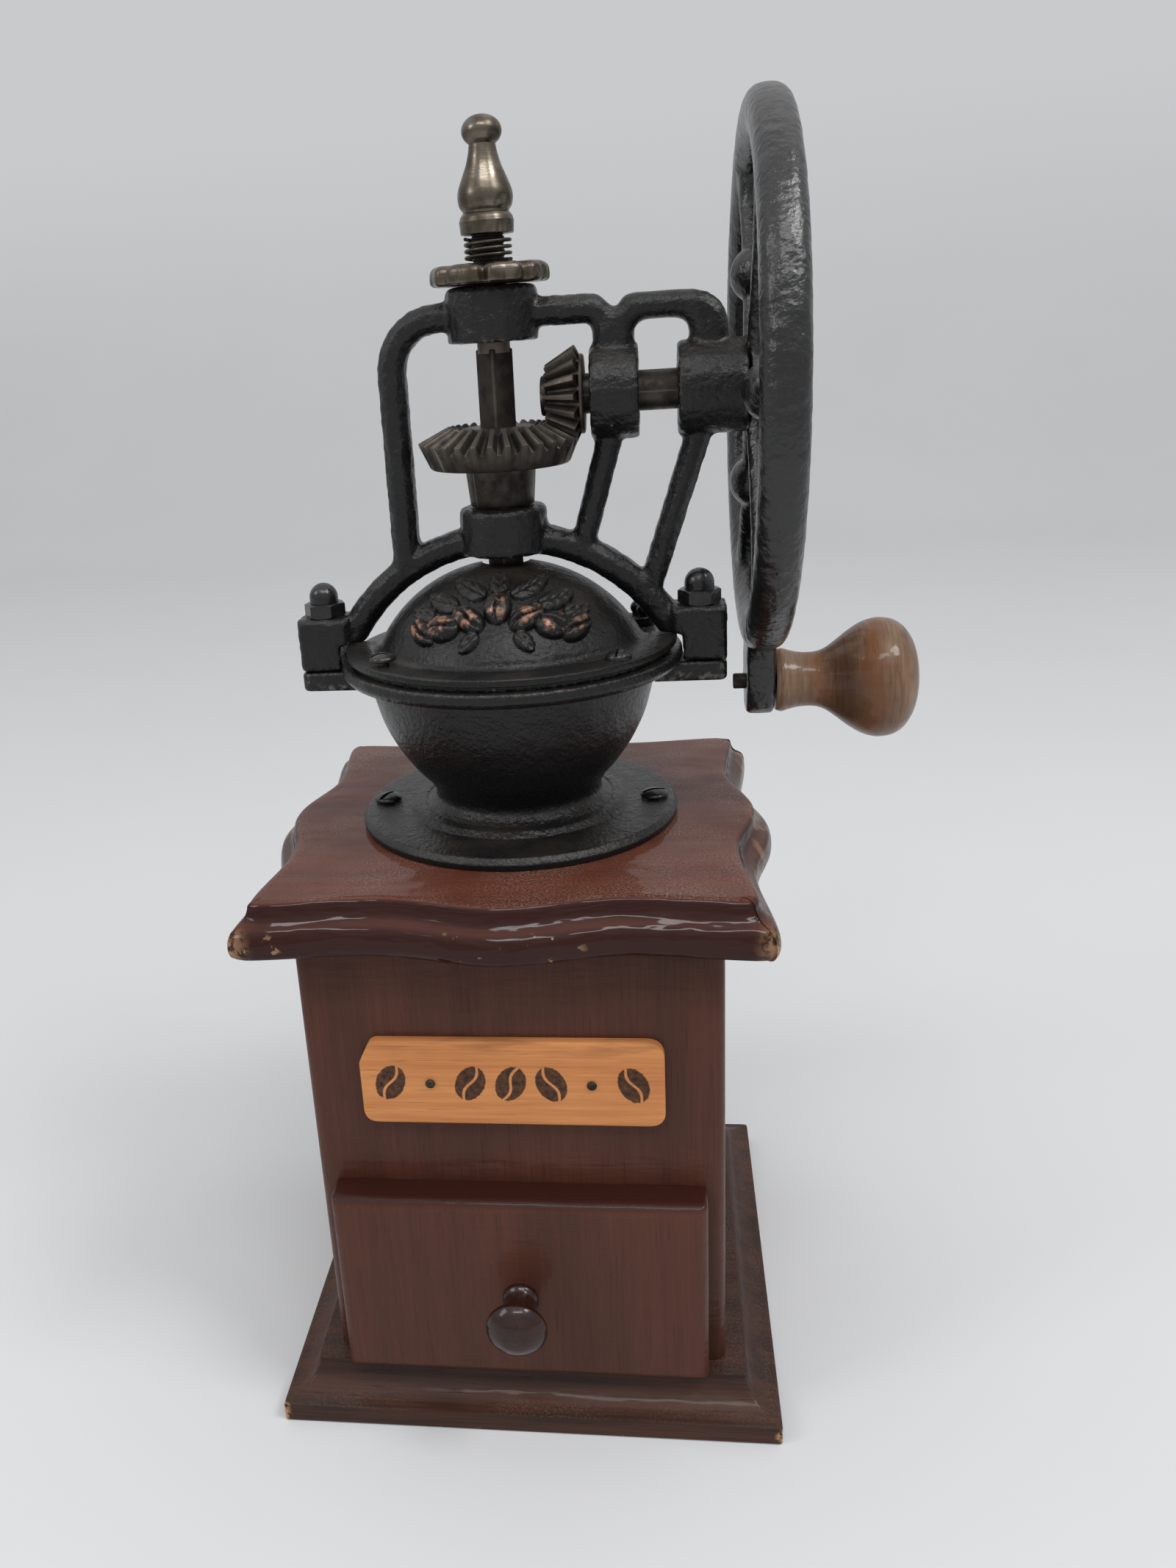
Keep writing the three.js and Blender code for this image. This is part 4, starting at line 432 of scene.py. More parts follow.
def arc(x, y, r, start, end, count, tall=None):
    """Points round (x, y) between two angles in radians, on an ellipse where tall is given."""
    return [(x + r * cos(a), y + (tall or r) * sin(a)) for a in np.linspace(start, end, count)]


def box_round(half_x, half_y, corner, steps, up=0):
    """Points round a rectangle whose corners are rounded, raised along y."""
    ring = []
    for x, y, start in ((1, -1, -90), (1, 1, 0), (-1, 1, 90), (-1, -1, 180)):
        for k in range(steps + 1):
            turn = radians(start + 90 * k / steps)
            across = x * max(half_x - corner, 0) + corner * cos(turn)
            ring.append((across, up + y * max(half_y - corner, 0) + corner * sin(turn)))
    return ring


def rounded(corners, steps=5):
    """A closed outline whose corners (x, y, radius) are rounded; a corner without a radius stays sharp."""
    points = []
    for i, corner in enumerate(corners):
        here = np.array(corner[:2], float)
        radius = corner[2] if len(corner) > 2 else 0
        before = np.array(corners[i - 1][:2], float) - here
        after = np.array(corners[(i + 1) % len(corners)][:2], float) - here
        spans = np.linalg.norm(before), np.linalg.norm(after)
        if radius <= 0 or min(spans) == 0:
            points.append(here)
            continue
        before, after = before / spans[0], after / spans[1]
        half = acos(float(np.clip(before @ after, -1, 1))) / 2
        reach = min(radius / tan(half), spans[0] / 2, spans[1] / 2)
        for k in range(steps + 1):
            share = k / steps
            points.append(here + before * reach * (1 - share) ** 2 + after * reach * share**2)
    return points


def curve(points, steps=8):
    """A smooth line through points."""
    p = np.asarray(points, float)
    ends = np.concatenate([[2 * p[0] - p[1]], p, [2 * p[-1] - p[-2]]])
    line = []
    for a, b, c, d in zip(ends, ends[1:], ends[2:], ends[3:]):
        square, cube = 2 * a - 5 * b + 4 * c - d, 3 * b - a - 3 * c + d
        for t in np.arange(steps) / steps:
            line.append(0.5 * (2 * b + (c - a) * t + square * t**2 + cube * t**3))
    line.append(p[-1])
    return line


def extruded(name, outline, z0, z1, edge=0.0, steps=4, angle=32):
    """A flat outline raised from z0 to z1, with rounded upper and lower edges."""
    p = np.asarray(outline, float)
    ahead, behind = np.roll(p, -1, 0) - p, p - np.roll(p, 1, 0)
    normal = np.stack([ahead[:, 1] + behind[:, 1], -ahead[:, 0] - behind[:, 0]], -1)
    normal /= np.linalg.norm(normal, axis=1, keepdims=True)
    if np.sum(p[:, 0] * np.roll(p[:, 1], -1) - p[:, 1] * np.roll(p[:, 0], -1)) < 0:
        normal = -normal
    quarter = [QUARTER * k / steps for k in range(steps + 1)] if edge else [QUARTER]
    levels = [(edge * (1 - sin(a)), z0 + edge * (1 - cos(a))) for a in quarter]
    levels += [(inset, z0 + z1 - z) for inset, z in reversed(levels)]
    rows = [np.column_stack([p - normal * inset, np.full(len(p), z)]) for inset, z in levels]
    return grid(name, rows, angle=angle)


def block(name, half, front, back, z0, z1):
    """A plain box, as wide to both sides of X."""
    return extruded(name, [(-half, front), (half, front), (half, back), (-half, back)], z0, z1)


def tongue(near, far, half, corner):
    """The outline of a tab along X with two rounded corners at its far end."""
    return rounded([(near, -half), (far, -half, corner), (far, half, corner), (near, half)], 6)


def moved(obj, place=(0, 0, 0), about=None, angle=0.0):
    """Turns an object about an axis through the origin, in degrees, and then moves it, in its mesh."""
    turn = Matrix.Rotation(radians(angle), 4, about) if about else Matrix.Identity(4)
    obj.data.transform(Matrix.Translation(Vector(place) * MM) @ turn)
    return obj


def along_x(obj):
    """Lays a piece that was turned about Z along +X."""
    return moved(obj, about="Y", angle=90)


def to_front(obj):
    """Lays a piece that was turned about Z so that it points out of the drawer, towards -Y."""
    return moved(obj, about="X", angle=90)


def carve(obj, *tools, operation="DIFFERENCE", angle=32):
    """Cuts tools from a piece, or joins them to it, and takes the tools away."""
    for tool in tools:
        modifier = obj.modifiers.new("carve", "BOOLEAN")
        modifier.operation = operation
        modifier.object = tool
    settle(obj)
    for tool in tools:
        bpy.data.objects.remove(tool)
    return smooth(obj, angle)


def bored(obj, r, low, high, segments, angle, past=2):
    """Cuts a round hole along Z through a piece."""
    return carve(obj, tube(obj.name + "_bore", 0, r, low - past, high + past, segments), angle=angle)


def fused(name, *parts):
    """One object of several overlapping closed parts."""
    form = bmesh.new()
    for part in parts:
        form.from_mesh(part.data)
        bpy.data.objects.remove(part)
    mesh = bpy.data.meshes.new(name)
    form.to_mesh(mesh)
    form.free()
    return linked(name, mesh)


def cast(obj, grain, rounds, sand=0.0):
    """Gives a form the soft edges and slightly uneven skin of a sand casting."""
    skin = obj.modifiers.new("skin", "REMESH")
    skin.mode = "VOXEL"
    skin.voxel_size = grain * MM
    ease = obj.modifiers.new("ease", "SMOOTH")
    ease.factor = 0.5
    ease.iterations = rounds
    if sand:
        clouds = bpy.data.textures.new(obj.name + "_sand", "CLOUDS")
        clouds.noise_scale = 2.6 * MM
        clouds.noise_depth = 2
        uneven = obj.modifiers.new("uneven", "DISPLACE")
        uneven.texture = clouds
        uneven.texture_coords = "LOCAL"
        uneven.strength = sand * MM
    settle(obj)
    obj.data.shade_smooth()
    return obj


def copy_of(node, name):
    """A copy of a CAD node's mesh with its doubled corners joined."""
    obj = linked(name, frame["nodes"][node].data.copy())
    weld(obj.data)
    return obj


def hexagon(name, flats, z0, z1, chamfer=0.6, bottom=False):
    """A six-sided nut blank whose corners are turned off at the top or at both ends."""
    corner = flats / sqrt(3)
    outline = [(corner * cos(a), corner * sin(a)) for a in np.arange(6) * pi / 3]
    blank = extruded(name, outline, z0, z1, angle=20)
    flat = flats / 2
    foot = [(flat, z0), (corner + chamfer, z0 + chamfer)] if bottom else [(corner + chamfer, z0)]
    profile = [(0, z0), *foot, (corner + chamfer, z1 - chamfer), (flat, z1), (0, z1)]
    return carve(blank, turned(name + "_turning", profile), operation="INTERSECT", angle=20)


for node, obj in frame["nodes"].items():
    dress(obj, FINISHES[SLOT_OF[node]])


def piece(obj, *nodes):
    """Puts a finished piece on the body and finish of the CAD nodes that it stands for."""
    low, high = span(nodes[0])
    variant = "_relief" if "relief" in obj.data.attributes else "_small" if max(high - low) < SMALL else ""
    finish = FINISHES.get(SLOT_OF[nodes[0]] + variant, FINISHES[SLOT_OF[nodes[0]]])
    dress(obj, finish)
    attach(obj, BODY_OF[nodes[0]])
    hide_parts(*nodes)
    return obj


# Wooden case
base_high = span("base_board")[1]
case_low, case_high = span("case_front")
board_low, board_high = span("top_board")
back_low, back_high = span("case_back")
CASE_CORNER = 7.0


def square_ring(half, corner, z):
    """A square with rounded corners at one height."""
    return [(x, y, z) for x, y in box_round(half, half, corner, 5)]


def base_board():
    lip, run, edge, corner, steps = 5.8, 9.25, 0.5, 0.9, 24
    half, top = base_high.x, base_high.z
    rows = [square_ring(half - edge, 0.6, 0), square_ring(half, corner, edge)]
    rows += [square_ring(half, corner, lip - edge), square_ring(half - 0.15, corner, lip - 0.15)]
    for k in range(1, steps + 1):
        turn = QUARTER * k / steps
        height = lip + (top - lip) * (1 - cos(turn))
        rows.append(square_ring(half - run * sin(turn), corner, height))
    piece(grid("base_board_moulded", rows, angle=28), "base_board")


def case_board(name, low, high, side):
    """Front or back of the case: a board that carries two rounded upright corners."""
    half, face, inner = high.x, side * high.x, side * (high.x - (high.y - low.y))
    outline = [(half, face, CASE_CORNER), (-half, face, CASE_CORNER), (-half, inner), (half, inner)]
    return extruded(name, rounded(outline, steps=14), low.z, high.z, edge=0.25, steps=2)


def case_boards():
    piece(case_board("case_back_board", back_low, back_high, 1), "case_back")
    side, room, front, back, foot = span("drawer_right")[1], 0.5, -80, -40, 5
    gap = block("drawer_gap", side.x + room, front, back, foot, side.z + room)
    piece(carve(case_board("case_front_board", case_low, case_high, -1), gap), "case_front")


# How far the top board's edge waves out and in, and where it is furthest in
LOBE, HOLLOW, HOLLOW_PLACE = 3.0, 3.0, 0.48


def edge_wave(s):
    """Standing of the top board's edge along one side, from its middle at 0 to its corners at -1 and 1."""
    place = abs(s)
    if place < HOLLOW_PLACE:
        return LOBE - (LOBE + HOLLOW) * (1 - cos(pi * place / HOLLOW_PLACE)) / 2
    return -HOLLOW + HOLLOW * (1 - cos(pi * (place - HOLLOW_PLACE) / (1 - HOLLOW_PLACE))) / 2


def top_board():
    thick, inset, corner, points = board_high.z - board_low.z, 6.5, 2.2, 80
    half = board_high.x - LOBE
    nose = [(0.34, 0.0), (0.14, 0.04), (0.03, 0.13), (0, 0.26), (0.03, 0.4), (0.13, 0.52), (0.3, 0.6)]
    cove = [(0.48, 0.66), (0.62, 0.74), (0.71, 0.84), (0.75, 0.93)]
    rows = []
    for share, height in curve(nose, 3) + curve(cove, 3) + [(0.83, 0.975), (0.95, 1.0), (1.15, 1.0)]:
        reach = half - share * inset
        side = []
        for s in np.linspace(-1, 1, points, endpoint=False):
            end = max(0.0, abs(s) - (1 - 2 * corner / reach)) / (2 * corner / reach)
            side.append((s * reach, -(reach + edge_wave(s) - corner * 0.6 * end**2)))
        ring = []
        for c, d in ((1, 0), (0, 1), (-1, 0), (0, -1)):
            ring += [(x * c - y * d, x * d + y * c, board_low.z + height * thick) for x, y in side]
        rows.append(ring)
    board = grid("top_board_moulded", rows, angle=40)
    neck_room = span("outer_burr")[1].x + 1.7
    piece(bored(board, neck_room, board_low.z, board_high.z, 96, 40, past=5), "top_board")


def plaque():
    low, high = span("front_plaque")
    half, tall = high.x, (high.z - low.z) / 2
    corners = [(half, -tall, 4.4), (half, tall, 4.8), (3.4 - half, tall, 3), (-half, tall - 6.8, 3),
               (-half, -tall, 4)]
    board = extruded("plaque_board", rounded(corners, 8), 0, high.y - low.y, edge=0.5)
    piece(moved(to_front(board), (0, high.y, (low.z + high.z) / 2)), "front_plaque")
    for side in ("left", "right"):
        low, high = span("plaque_nail_" + side)
        head = (high.x - low.x) / 2 * 0.8
        profile = [(0, 0), (head * 0.35, 0), (head * 0.35, 6.5), (head * 0.9, 6.5), (head, 6.75)]
        profile += arc(0, 6.8, head, 0.2, QUARTER, 6, tall=0.75)
        nail = to_front(turned("nail_" + side, profile, 32))
        centre = (low + high) / 2
        piece(moved(nail, (centre.x, high.y - 0.6, centre.z)), "plaque_nail_" + side)


# Drawer
def drawer_front():
    low, high = span("drawer_front")
    edge, corner, deep = 3.2, 1.2, high.y - low.y
    half, tall, middle = high.x, (high.z - low.z) / 2, (low.z + high.z) / 2
    rim = [(0.3, 0), (0, 0.3)]
    for a in np.linspace(0, QUARTER, 9):
        rim.append((edge * (1 - cos(a)), deep - edge * (1 - sin(a))))
    rows = []
    for inset, out in rim:
        ring = box_round(half - inset, tall - inset, corner, 4, middle)
        rows.append([(x, high.y - out, z) for x, z in ring])
    piece(grid("drawer_front_rounded", rows), "drawer_front")


def drawer_knob():
    low, high = span("drawer_knob")
    r, length = (high.x - low.x) / 2, high.y - low.y
    neck = [(0.6, 0), (0.6, 0.07), (0.5, 0.14), (0.45, 0.26), (0.47, 0.38), (0.58, 0.44)]
    head = [(0.6, 0.48), (0.85, 0.58), (0.98, 0.66), (1, 0.71), (0.97, 0.76), (0.8, 0.86), (0.45, 0.965),
            (0, 1)]
    profile = [(0, 0)] + curve(neck, 4) + curve(head, 6)
    knob = to_front(turned("knob_turned", [(a * r, b * length) for a, b in profile], 72))
    piece(moved(knob, (0, high.y, (low.z + high.z) / 2)), "drawer_knob")


# Screws and nuts
def slotted_screw(name, node, dome=0.5, slot=0.9, turn=0.0, wider=1.0, taller=0.0):
    """A round-headed screw standing upright where its CAD node is."""
    low, high = span(node)
    r = (high.x - low.x) / 2 * wider
    head = dome * r
    top = high.z + taller
    under, core = top - head - 0.55, r * 0.45
    profile = [(0, low.z), (core, low.z), (core, under), (r * 0.93, under)]
    profile += [(r, under + 0.25), (r, under + 0.5)]
    screw = turned(name, profile + arc(0, top - head, r, 0.12, QUARTER, 9, tall=head), 48)
    groove = block(name + "_slot", r + 1, -slot / 2, slot / 2, top - head * 0.62, top + 2)
    screw = carve(screw, moved(groove, about="Z", angle=turn))
    centre = (low + high) / 2
    piece(moved(screw, (centre.x, centre.y, 0)), node)


def acorn_nut(side):
    low, high = span("acorn_nut_" + side)
    foot, top, r = low.z, high.z, 3.95
    hexed = hexagon("acorn_" + side, high.x - low.x, foot, foot + 3.7, chamfer=0.7, bottom=True)
    crown = [(0, foot + 1), (r, foot + 1), (r, top - r)] + arc(0, top - r, r, 0.08, QUARTER, 12)
    nut = carve(hexed, turned("crown_" + side, crown, 64), operation="UNION", angle=28)
    piece(moved(nut, ((low.x + high.x) / 2, 0, 0)), "acorn_nut_" + side)
    low, high = span("ear_stud_" + side)
    r = (high.x - low.x) / 2
    profile = [(0, low.z), (r - 0.5, low.z), (r, low.z + 0.5), (r, high.z), (0, high.z)]
    piece(moved(turned("stud_" + side, profile, 32), ((low.x + high.x) / 2, 0, 0)), "ear_stud_" + side)


# Hopper and its cover
dome_low, dome_high = span("front_dome")
FLANGE, FLANGE_THICK, FOOT_RING, NECK, WALL = 45.0, 3.5, 31.2, 23.6, 3.0
RIM, RIM_THICK, BOWL = 47.0, 3.8, 40.0
EAR_THICK, EAR_HALF = 5.4, 6.5


def hopper():
    low, high = span("hopper")
    foot, top = low.z, high.z
    flange_top = foot + FLANGE_THICK
    neck_top, rim_low = flange_top + 5.3, top - RIM_THICK
    tall = rim_low - neck_top
    flares = [(0, 0), (0.05, 0.04), (0.12, 0.14), (0.2, 0.29), (0.3, 0.45), (0.42, 0.61), (0.6, 0.79),
              (0.8, 0.91), (1, 1)]
    bowl = [(NECK + flare * (BOWL - NECK), neck_top + height * tall) for height, flare in flares]
    outer = curve([(NECK + 1.6, flange_top + 2.2), (NECK + 0.2, flange_top + 3.7)] + bowl, 6)
    burr = span("outer_burr")[1]
    seat = burr.x + 0.3
    profile = rounded([
        (seat, foot), (FLANGE - 0.4, foot, 0.4), (FLANGE, foot + 1.8, 0.8), (FLANGE - 1.3, flange_top, 1.0),
        (FOOT_RING, flange_top - 0.1, 0.9), (FOOT_RING - 1.8, flange_top + 1.5, 1.1),
        (NECK + 3.4, flange_top + 1.7, 0.9),
    ], 4)
    profile += outer
    profile += rounded([
        (BOWL + 0.4, rim_low - 0.6, 0.4), (RIM - 1.2, rim_low - 0.2, 0.7), (RIM, rim_low + 1.3, 1.2),
        (RIM - 0.3, top, 1.1), (BOWL - 2, top, 0.5), (BOWL - WALL, rim_low, 0.5),
    ], 4)
    profile += [(r - WALL, z) for r, z in outer[::-4] if r > NECK + 1.4 and z > neck_top]
    profile += [(seat - 1.2, neck_top), (seat - 1.2, burr.z + 0.3), (seat, burr.z + 0.3)]
    bowl = turned("hopper_casting", profile, 160, angle=38)
    parts = []
    for side in (-1, 1):
        outline = tongue(side * (BOWL - 1), side * high.x, EAR_HALF, 2.6)
        parts.append(extruded(f"ear_{side}", outline, rim_low - EAR_THICK, rim_low, edge=1.1))
    piece(carve(bowl, *parts, operation="UNION", angle=38), "hopper")


def cover_ring():
    low, high = span("cover_ring")
    foot, top, reach, inner = low.z, high.z, high.x, 30
    profile = rounded([(inner, foot), (reach, foot, 0.3), (reach, top, 0.4), (inner, top, 0.3)], 3)
    piece(turned("cover_ring_turned", profile, 128), "cover_ring")


# Relief on the front dome: a garland of coffee beans and leaves, in millimetres across and up the dome.
# Each bean and leaf has its place, its size or length and its lean in radians, and a twin on the other side
GARLAND_BEANS = [(7.6, 11.6, 4.5, 0.6), (14.6, 8.6, 4.7, -0.4), (21.6, 6.6, 4.3, 0.35)]
GARLAND_LEAVES = [(3.4, 19.0, 11.5, 0.55), (10.5, 15.6, 11.0, 0.12), (17.6, 12.0, 9.0, -0.12),
                  (5.0, 7.6, 7.0, -0.9)]
RELIEF_REACH = 34


def relief(across, up):
    """Height of the relief over arrays of places."""
    height = np.zeros_like(across)

    def turned_to(x, y, lean):
        c, s = cos(lean), sin(lean)
        return (across - x) * c + (up - y) * s, -(across - x) * s + (up - y) * c

    def lay(shape):
        np.copyto(height, np.maximum(height, shape) + 0.15 * np.minimum(height, shape))

    def bean(x, y, size, lean):
        u, v = turned_to(x, y, lean)
        swell = np.clip(1 - (u / (size * 1.12)) ** 2 - (v / (size * 0.8)) ** 2, 0, None)
        crease = 0.38 * np.exp(-(((v + 0.13 * size * np.sin(u / size * 2.4)) / 0.5) ** 2))
        lay(2.9 * np.sqrt(swell) * (1 - crease))

    def leaf(x, y, length, lean):
        u, v = turned_to(x, y, lean)
        u = u / length
        wide = 0.36 * length * np.sqrt(np.clip(u * (1 - u) * 4, 0, None)) * (1 - 0.3 * u)
        inside = np.clip(1 - (v / np.maximum(wide, 1e-6)) ** 2, 0, None) * (wide > 0.3)
        ribs = 0.5 + 0.5 * np.cos((u * length - np.abs(v)) * 2.2)
        vein = 0.55 * np.exp(-((v / 0.5) ** 2)) + 0.25 * ribs
        lay(1.5 * np.sqrt(inside) * (1 - vein * 0.6))

    for side in (-1, 1):
        for x, y, size, lean in GARLAND_BEANS:
            bean(side * x, y, size, side * lean)
        for x, y, length, lean in GARLAND_LEAVES:
            leaf(side * x, y, length, lean if side > 0 else pi - lean)
    bean(0, 15.2, 4.6, QUARTER)
    leaf(0, 20.0, 9.5, QUARTER)
    return height


def half_dome(name, radius, top, foot, wall, hole, start, end, skirt=None, steps=180, raised=None):
    """A half spherical shell between two bearings in degrees, with an optional flat skirt and relief."""
    middle = top - radius
    low = asin((foot - middle) / radius)
    if skirt:
        skirt_top = foot + skirt[1]
        low = asin((skirt_top + 1.9 - middle) / radius)
    high = acos(hole / radius)
    levels = np.linspace(low, high, 130 if raised else 40)
    outer = arc(0, middle, radius, low, high, len(levels))
    inner = arc(0, middle, radius - wall, high, asin((foot - middle) / (radius - wall)), 24)
    rim = []
    if skirt:
        reach, thick = skirt
        rim = rounded([(inner[-1][0] + 1, foot), (reach, foot, 0.5), (reach - 0.1, foot + thick, 0.7),
                       (radius * cos(low) + 3.2, foot + thick + 0.05, 1.5)], 4)[1:]
        base = np.array(outer[0])
        last = np.array(rim[-1])
        corner = np.array((base[0] + 0.9, last[1]))
        for t in np.linspace(0.12, 0.88, 7):
            rim.append(last * (1 - t) ** 2 + corner * 2 * t * (1 - t) + base * t**2)
    profile = np.array([(inner[-1][0], foot)] * bool(skirt) + rim + outer + inner)
    first = bool(skirt) + len(rim)
    dome = slice(first, first + len(outer))
    rows = []
    for bearing in np.radians(np.linspace(start, end, steps + 1)):
        r, z = profile[:, 0].copy(), profile[:, 1].copy()
        if raised:
            across = (bearing + QUARTER) * r[dome]
            lift = raised(across, (levels - levels[0]) * radius) * (np.abs(across) < RELIEF_REACH)
            r[dome] += lift * np.cos(levels)
            z[dome] += lift * np.sin(levels)
        rows.append(np.column_stack([r * cos(bearing), r * sin(bearing), z]))
    return grid(name, rows, angle=40)


DOME, DOME_WALL, DOME_HOLE = 41.0, 1.8, 6.5
CROWN = dome_low.z + 23.6


def front_dome():
    foot = dome_low.z
    front = half_dome("front_dome_cast", DOME, CROWN, foot, DOME_WALL, DOME_HOLE, -180.2, 0.2,
                      (dome_high.x, 2.0), 320, relief)
    centre, skirt_top = Vector((0, 0, CROWN - DOME)), foot + 4
    places = [v.co / MM for v in front.data.vertices]
    raised = [(place - centre).length - DOME if place.z > skirt_top else 0.0 for place in places]
    front.data.attributes.new("relief", "FLOAT", "POINT").data.foreach_set("value", raised)
    piece(front, "front_dome")


def rear_lid():
    foot, middle = span("rear_lid")[0].z, CROWN - DOME
    radius = DOME - DOME_WALL - 0.7
    shell = half_dome("rear_lid_cast", radius, middle + radius, foot, DOME_WALL, DOME_HOLE, 0.5, 179.5)
    tab_angle, tab_half, tab_reach, tab_top = 24.0, 4.0, 43.0, span("lid_rivet_near")[0].z + 3.0
    tab = extruded("lid_tab", tongue(radius - 8, tab_reach, tab_half, 3.4), foot, tab_top, edge=0.6)
    inside = radius - DOME_WALL + 0.4
    clear = turned("tab_clear", [(0, middle)] + arc(0, middle, inside, 0, QUARTER, 24), 96)
    tab = carve(moved(tab, about="Z", angle=tab_angle), clear, angle=38)
    piece(carve(shell, tab, operation="UNION", angle=38), "rear_lid")
    for node in ("lid_rivet_near", "lid_rivet_far"):
        low, high = span(node)
        r = (high.x - low.x) / 2
        profile = [(0, low.z), (r / 2, low.z), (r / 2, tab_top), (r * 0.72, tab_top)]
        rivet = turned(node + "_head", profile + arc(0, high.z - r, r, -0.75, QUARTER, 12), 40)
        piece(moved(rivet, ((low.x + high.x) / 2, (low.y + high.y) / 2, 0)), node)


# Yoke: the CAD casting with the soft edges of the foundry
def yoke():
    casting = cast(copy_of("yoke", "yoke_casting"), 0.5, 22, sand=0.5)
    valley = casting.vertex_groups.new(name="valley")
    left, right, foot = 24, 50, span("yoke")[1].z - 12
    points = [v.index for v in casting.data.vertices if left < v.co.x / MM < right and v.co.z / MM > foot]
    valley.add(points, 1.0, "REPLACE")
    ease = casting.modifiers.new("ease", "SMOOTH")
    ease.vertex_group = valley.name
    ease.iterations = 60
    piece(settle(casting), "yoke")


# Spindle group
nut_low, nut_high = span("adjusting_nut")
fin_low, fin_high = span("finial")
# Width of the spindle's square bar, and radius of the rod above it and of the tail below it
BAR, ROD, TAIL = 7.0, 4.2, 3.4
# Room between a rod and the bore round it
PLAY = 0.12


def thread(r, z0, z1):
    """The outline of a screw thread between two heights, with its lead left out."""
    pitch, deep = 1.0, 0.32
    line = []
    for i in range(int((z1 - z0) / pitch)):
        z = z0 + i * pitch
        line += [(r - deep, z), (r - deep, z + 0.15 * pitch), (r, z + 0.45 * pitch), (r, z + 0.6 * pitch)]
    return line + [(r - deep, z1)]


def spindle():
    low, high = span("spindle")
    burr = span("inner_burr")[0].z
    shoulder = span("yoke")[1].z - 15.2
    half, edge = BAR / 2, 0.7
    outline = rounded([(half, -half, edge), (half, half, edge), (-half, half, edge), (-half, -half, edge)], 4)
    bar = moved(extruded("spindle_square", outline, burr, shoulder, edge=0.4), about="Z", angle=45)
    profile = [(0, low.z), (3.0, low.z)] + thread(TAIL, low.z + 0.4, burr + 1) + [(0, burr + 1)]
    tail = turned("spindle_tail", profile, 40)
    profile = [(0, shoulder - 1), (ROD, shoulder - 1), (ROD, nut_low.z)]
    profile += thread(ROD, nut_low.z + 0.2, fin_low.z + 1) + [(4.0, high.z), (0, high.z)]
    piece(fused("spindle_turned", bar, tail, turned("spindle_rod", profile, 56)), "spindle")


def finial():
    tall, foot, r, bore = fin_high.z - fin_low.z, fin_low.z, fin_high.x, 4.4
    collar = [(bore, foot), (r * 0.97, foot, 0.4), (r, foot + 0.11 * tall, 0.3),
              (r * 0.95, foot + 0.15 * tall, 0.5), (r * 0.84, foot + 0.19 * tall, 0.2)]
    body = [(0.85, 0.2), (0.95, 0.235), (1.0, 0.29), (0.995, 0.35), (0.91, 0.42), (0.76, 0.51), (0.63, 0.59),
            (0.53, 0.68), (0.485, 0.745), (0.48, 0.765)]
    line = rounded(collar, 3)[:-1] + curve([(a * r, foot + b * tall) for a, b in body], 5)
    ball, waist, hollow = 4.97, 0.485 * r, foot + 0.36 * tall
    ball_tall = ball * 0.76
    line += arc(0, fin_high.z - ball_tall, ball, -acos(min(1, waist / ball)), QUARTER, 18, tall=ball_tall)
    line += [(0, hollow), (bore, hollow)]
    piece(turned("finial_turned", line, 96, angle=30), "finial")


def adjusting_nut():
    lobes, r, notch = 8, 15.2, 1.9
    low, high = nut_low.z, nut_high.z
    turns = np.linspace(0, 2 * pi, lobes * 24, endpoint=False)
    away = np.abs((turns * lobes / (2 * pi) + 0.5) % 1 - 0.5) * 2
    reach = r - notch * np.exp(-((away / 0.2) ** 2)) - 0.35 * away**4
    crown = [(0.94, 0, 0), (0.985, 0.1, 0), (1, 0.24, 0.1), (1, 0.5, 0.5), (0.985, 0.74, 1),
             (0.945, 0.9, 1.2), (0.88, 0.985, 1.2), (0.8, 1, 1), (0.62, 1, 0)]
    rows = []
    for share, height, sink in curve(crown, 4):
        bend = reach * share
        drop = 0.55 * sink * np.exp(-((away / 0.3) ** 2))
        up = low + (high - low) * height - drop
        rows.append(np.column_stack([bend * np.cos(turns), bend * np.sin(turns), up]))
    nut = grid("adjusting_nut_lobed", rows, angle=46)
    piece(bored(nut, ROD + PLAY, low, high, 48, 46), "adjusting_nut")


def spring():
    low, high = span("lock_spring")
    wire, coils, steps = 0.45, 3.5, 40
    r = (high.x - low.x) / 2 - wire
    count = int(coils * steps)
    round_wire = np.arange(12) * pi / 6
    rows = []
    for i in range(count + 1):
        turn = 2 * pi * i / steps
        z = low.z + wire + (high.z - low.z - 2 * wire) * (i / count)
        out = np.array((cos(turn), sin(turn), 0))
        rows.append([out * (r + wire * cos(b)) + (0, 0, z + wire * sin(b)) for b in round_wire])
    piece(grid("lock_spring_coil", rows), "lock_spring")


def burr_fixings():
    low, high = span("burr_nut")
    nut = hexagon("burr_nut_hex", high.x - low.x, low.z, high.z, bottom=True)
    piece(bored(nut, TAIL + PLAY, low.z, high.z, 32, 20), "burr_nut")
    low, high = span("burr_washer")
    piece(tube("burr_washer_ring", 3.5, high.x, low.z, high.z), "burr_washer")


# Bevel gear pair
GEAR_TEETH, PINION_TEETH, MODULE, FACE = 30, 16, 1.4, 9.0
GEAR_PITCH, PINION_PITCH = GEAR_TEETH * MODULE / 2, PINION_TEETH * MODULE / 2
CONE = hypot(GEAR_PITCH, PINION_PITCH)
SHAFT_HEIGHT = (span("wheel_shaft")[0].z + span("wheel_shaft")[1].z) / 2
# Place along the pitch and height between root and tip, from one root's middle to the next
FLANK = [(0.135, 1), (0.165, 0.93), (0.215, 0.72), (0.28, 0.45), (0.335, 0.2), (0.37, 0.06), (0.42, 0)]
TOOTH = [(-0.5, 0)] + [(-place, rise) for place, rise in reversed(FLANK)] + [(0, 1.03)] + FLANK


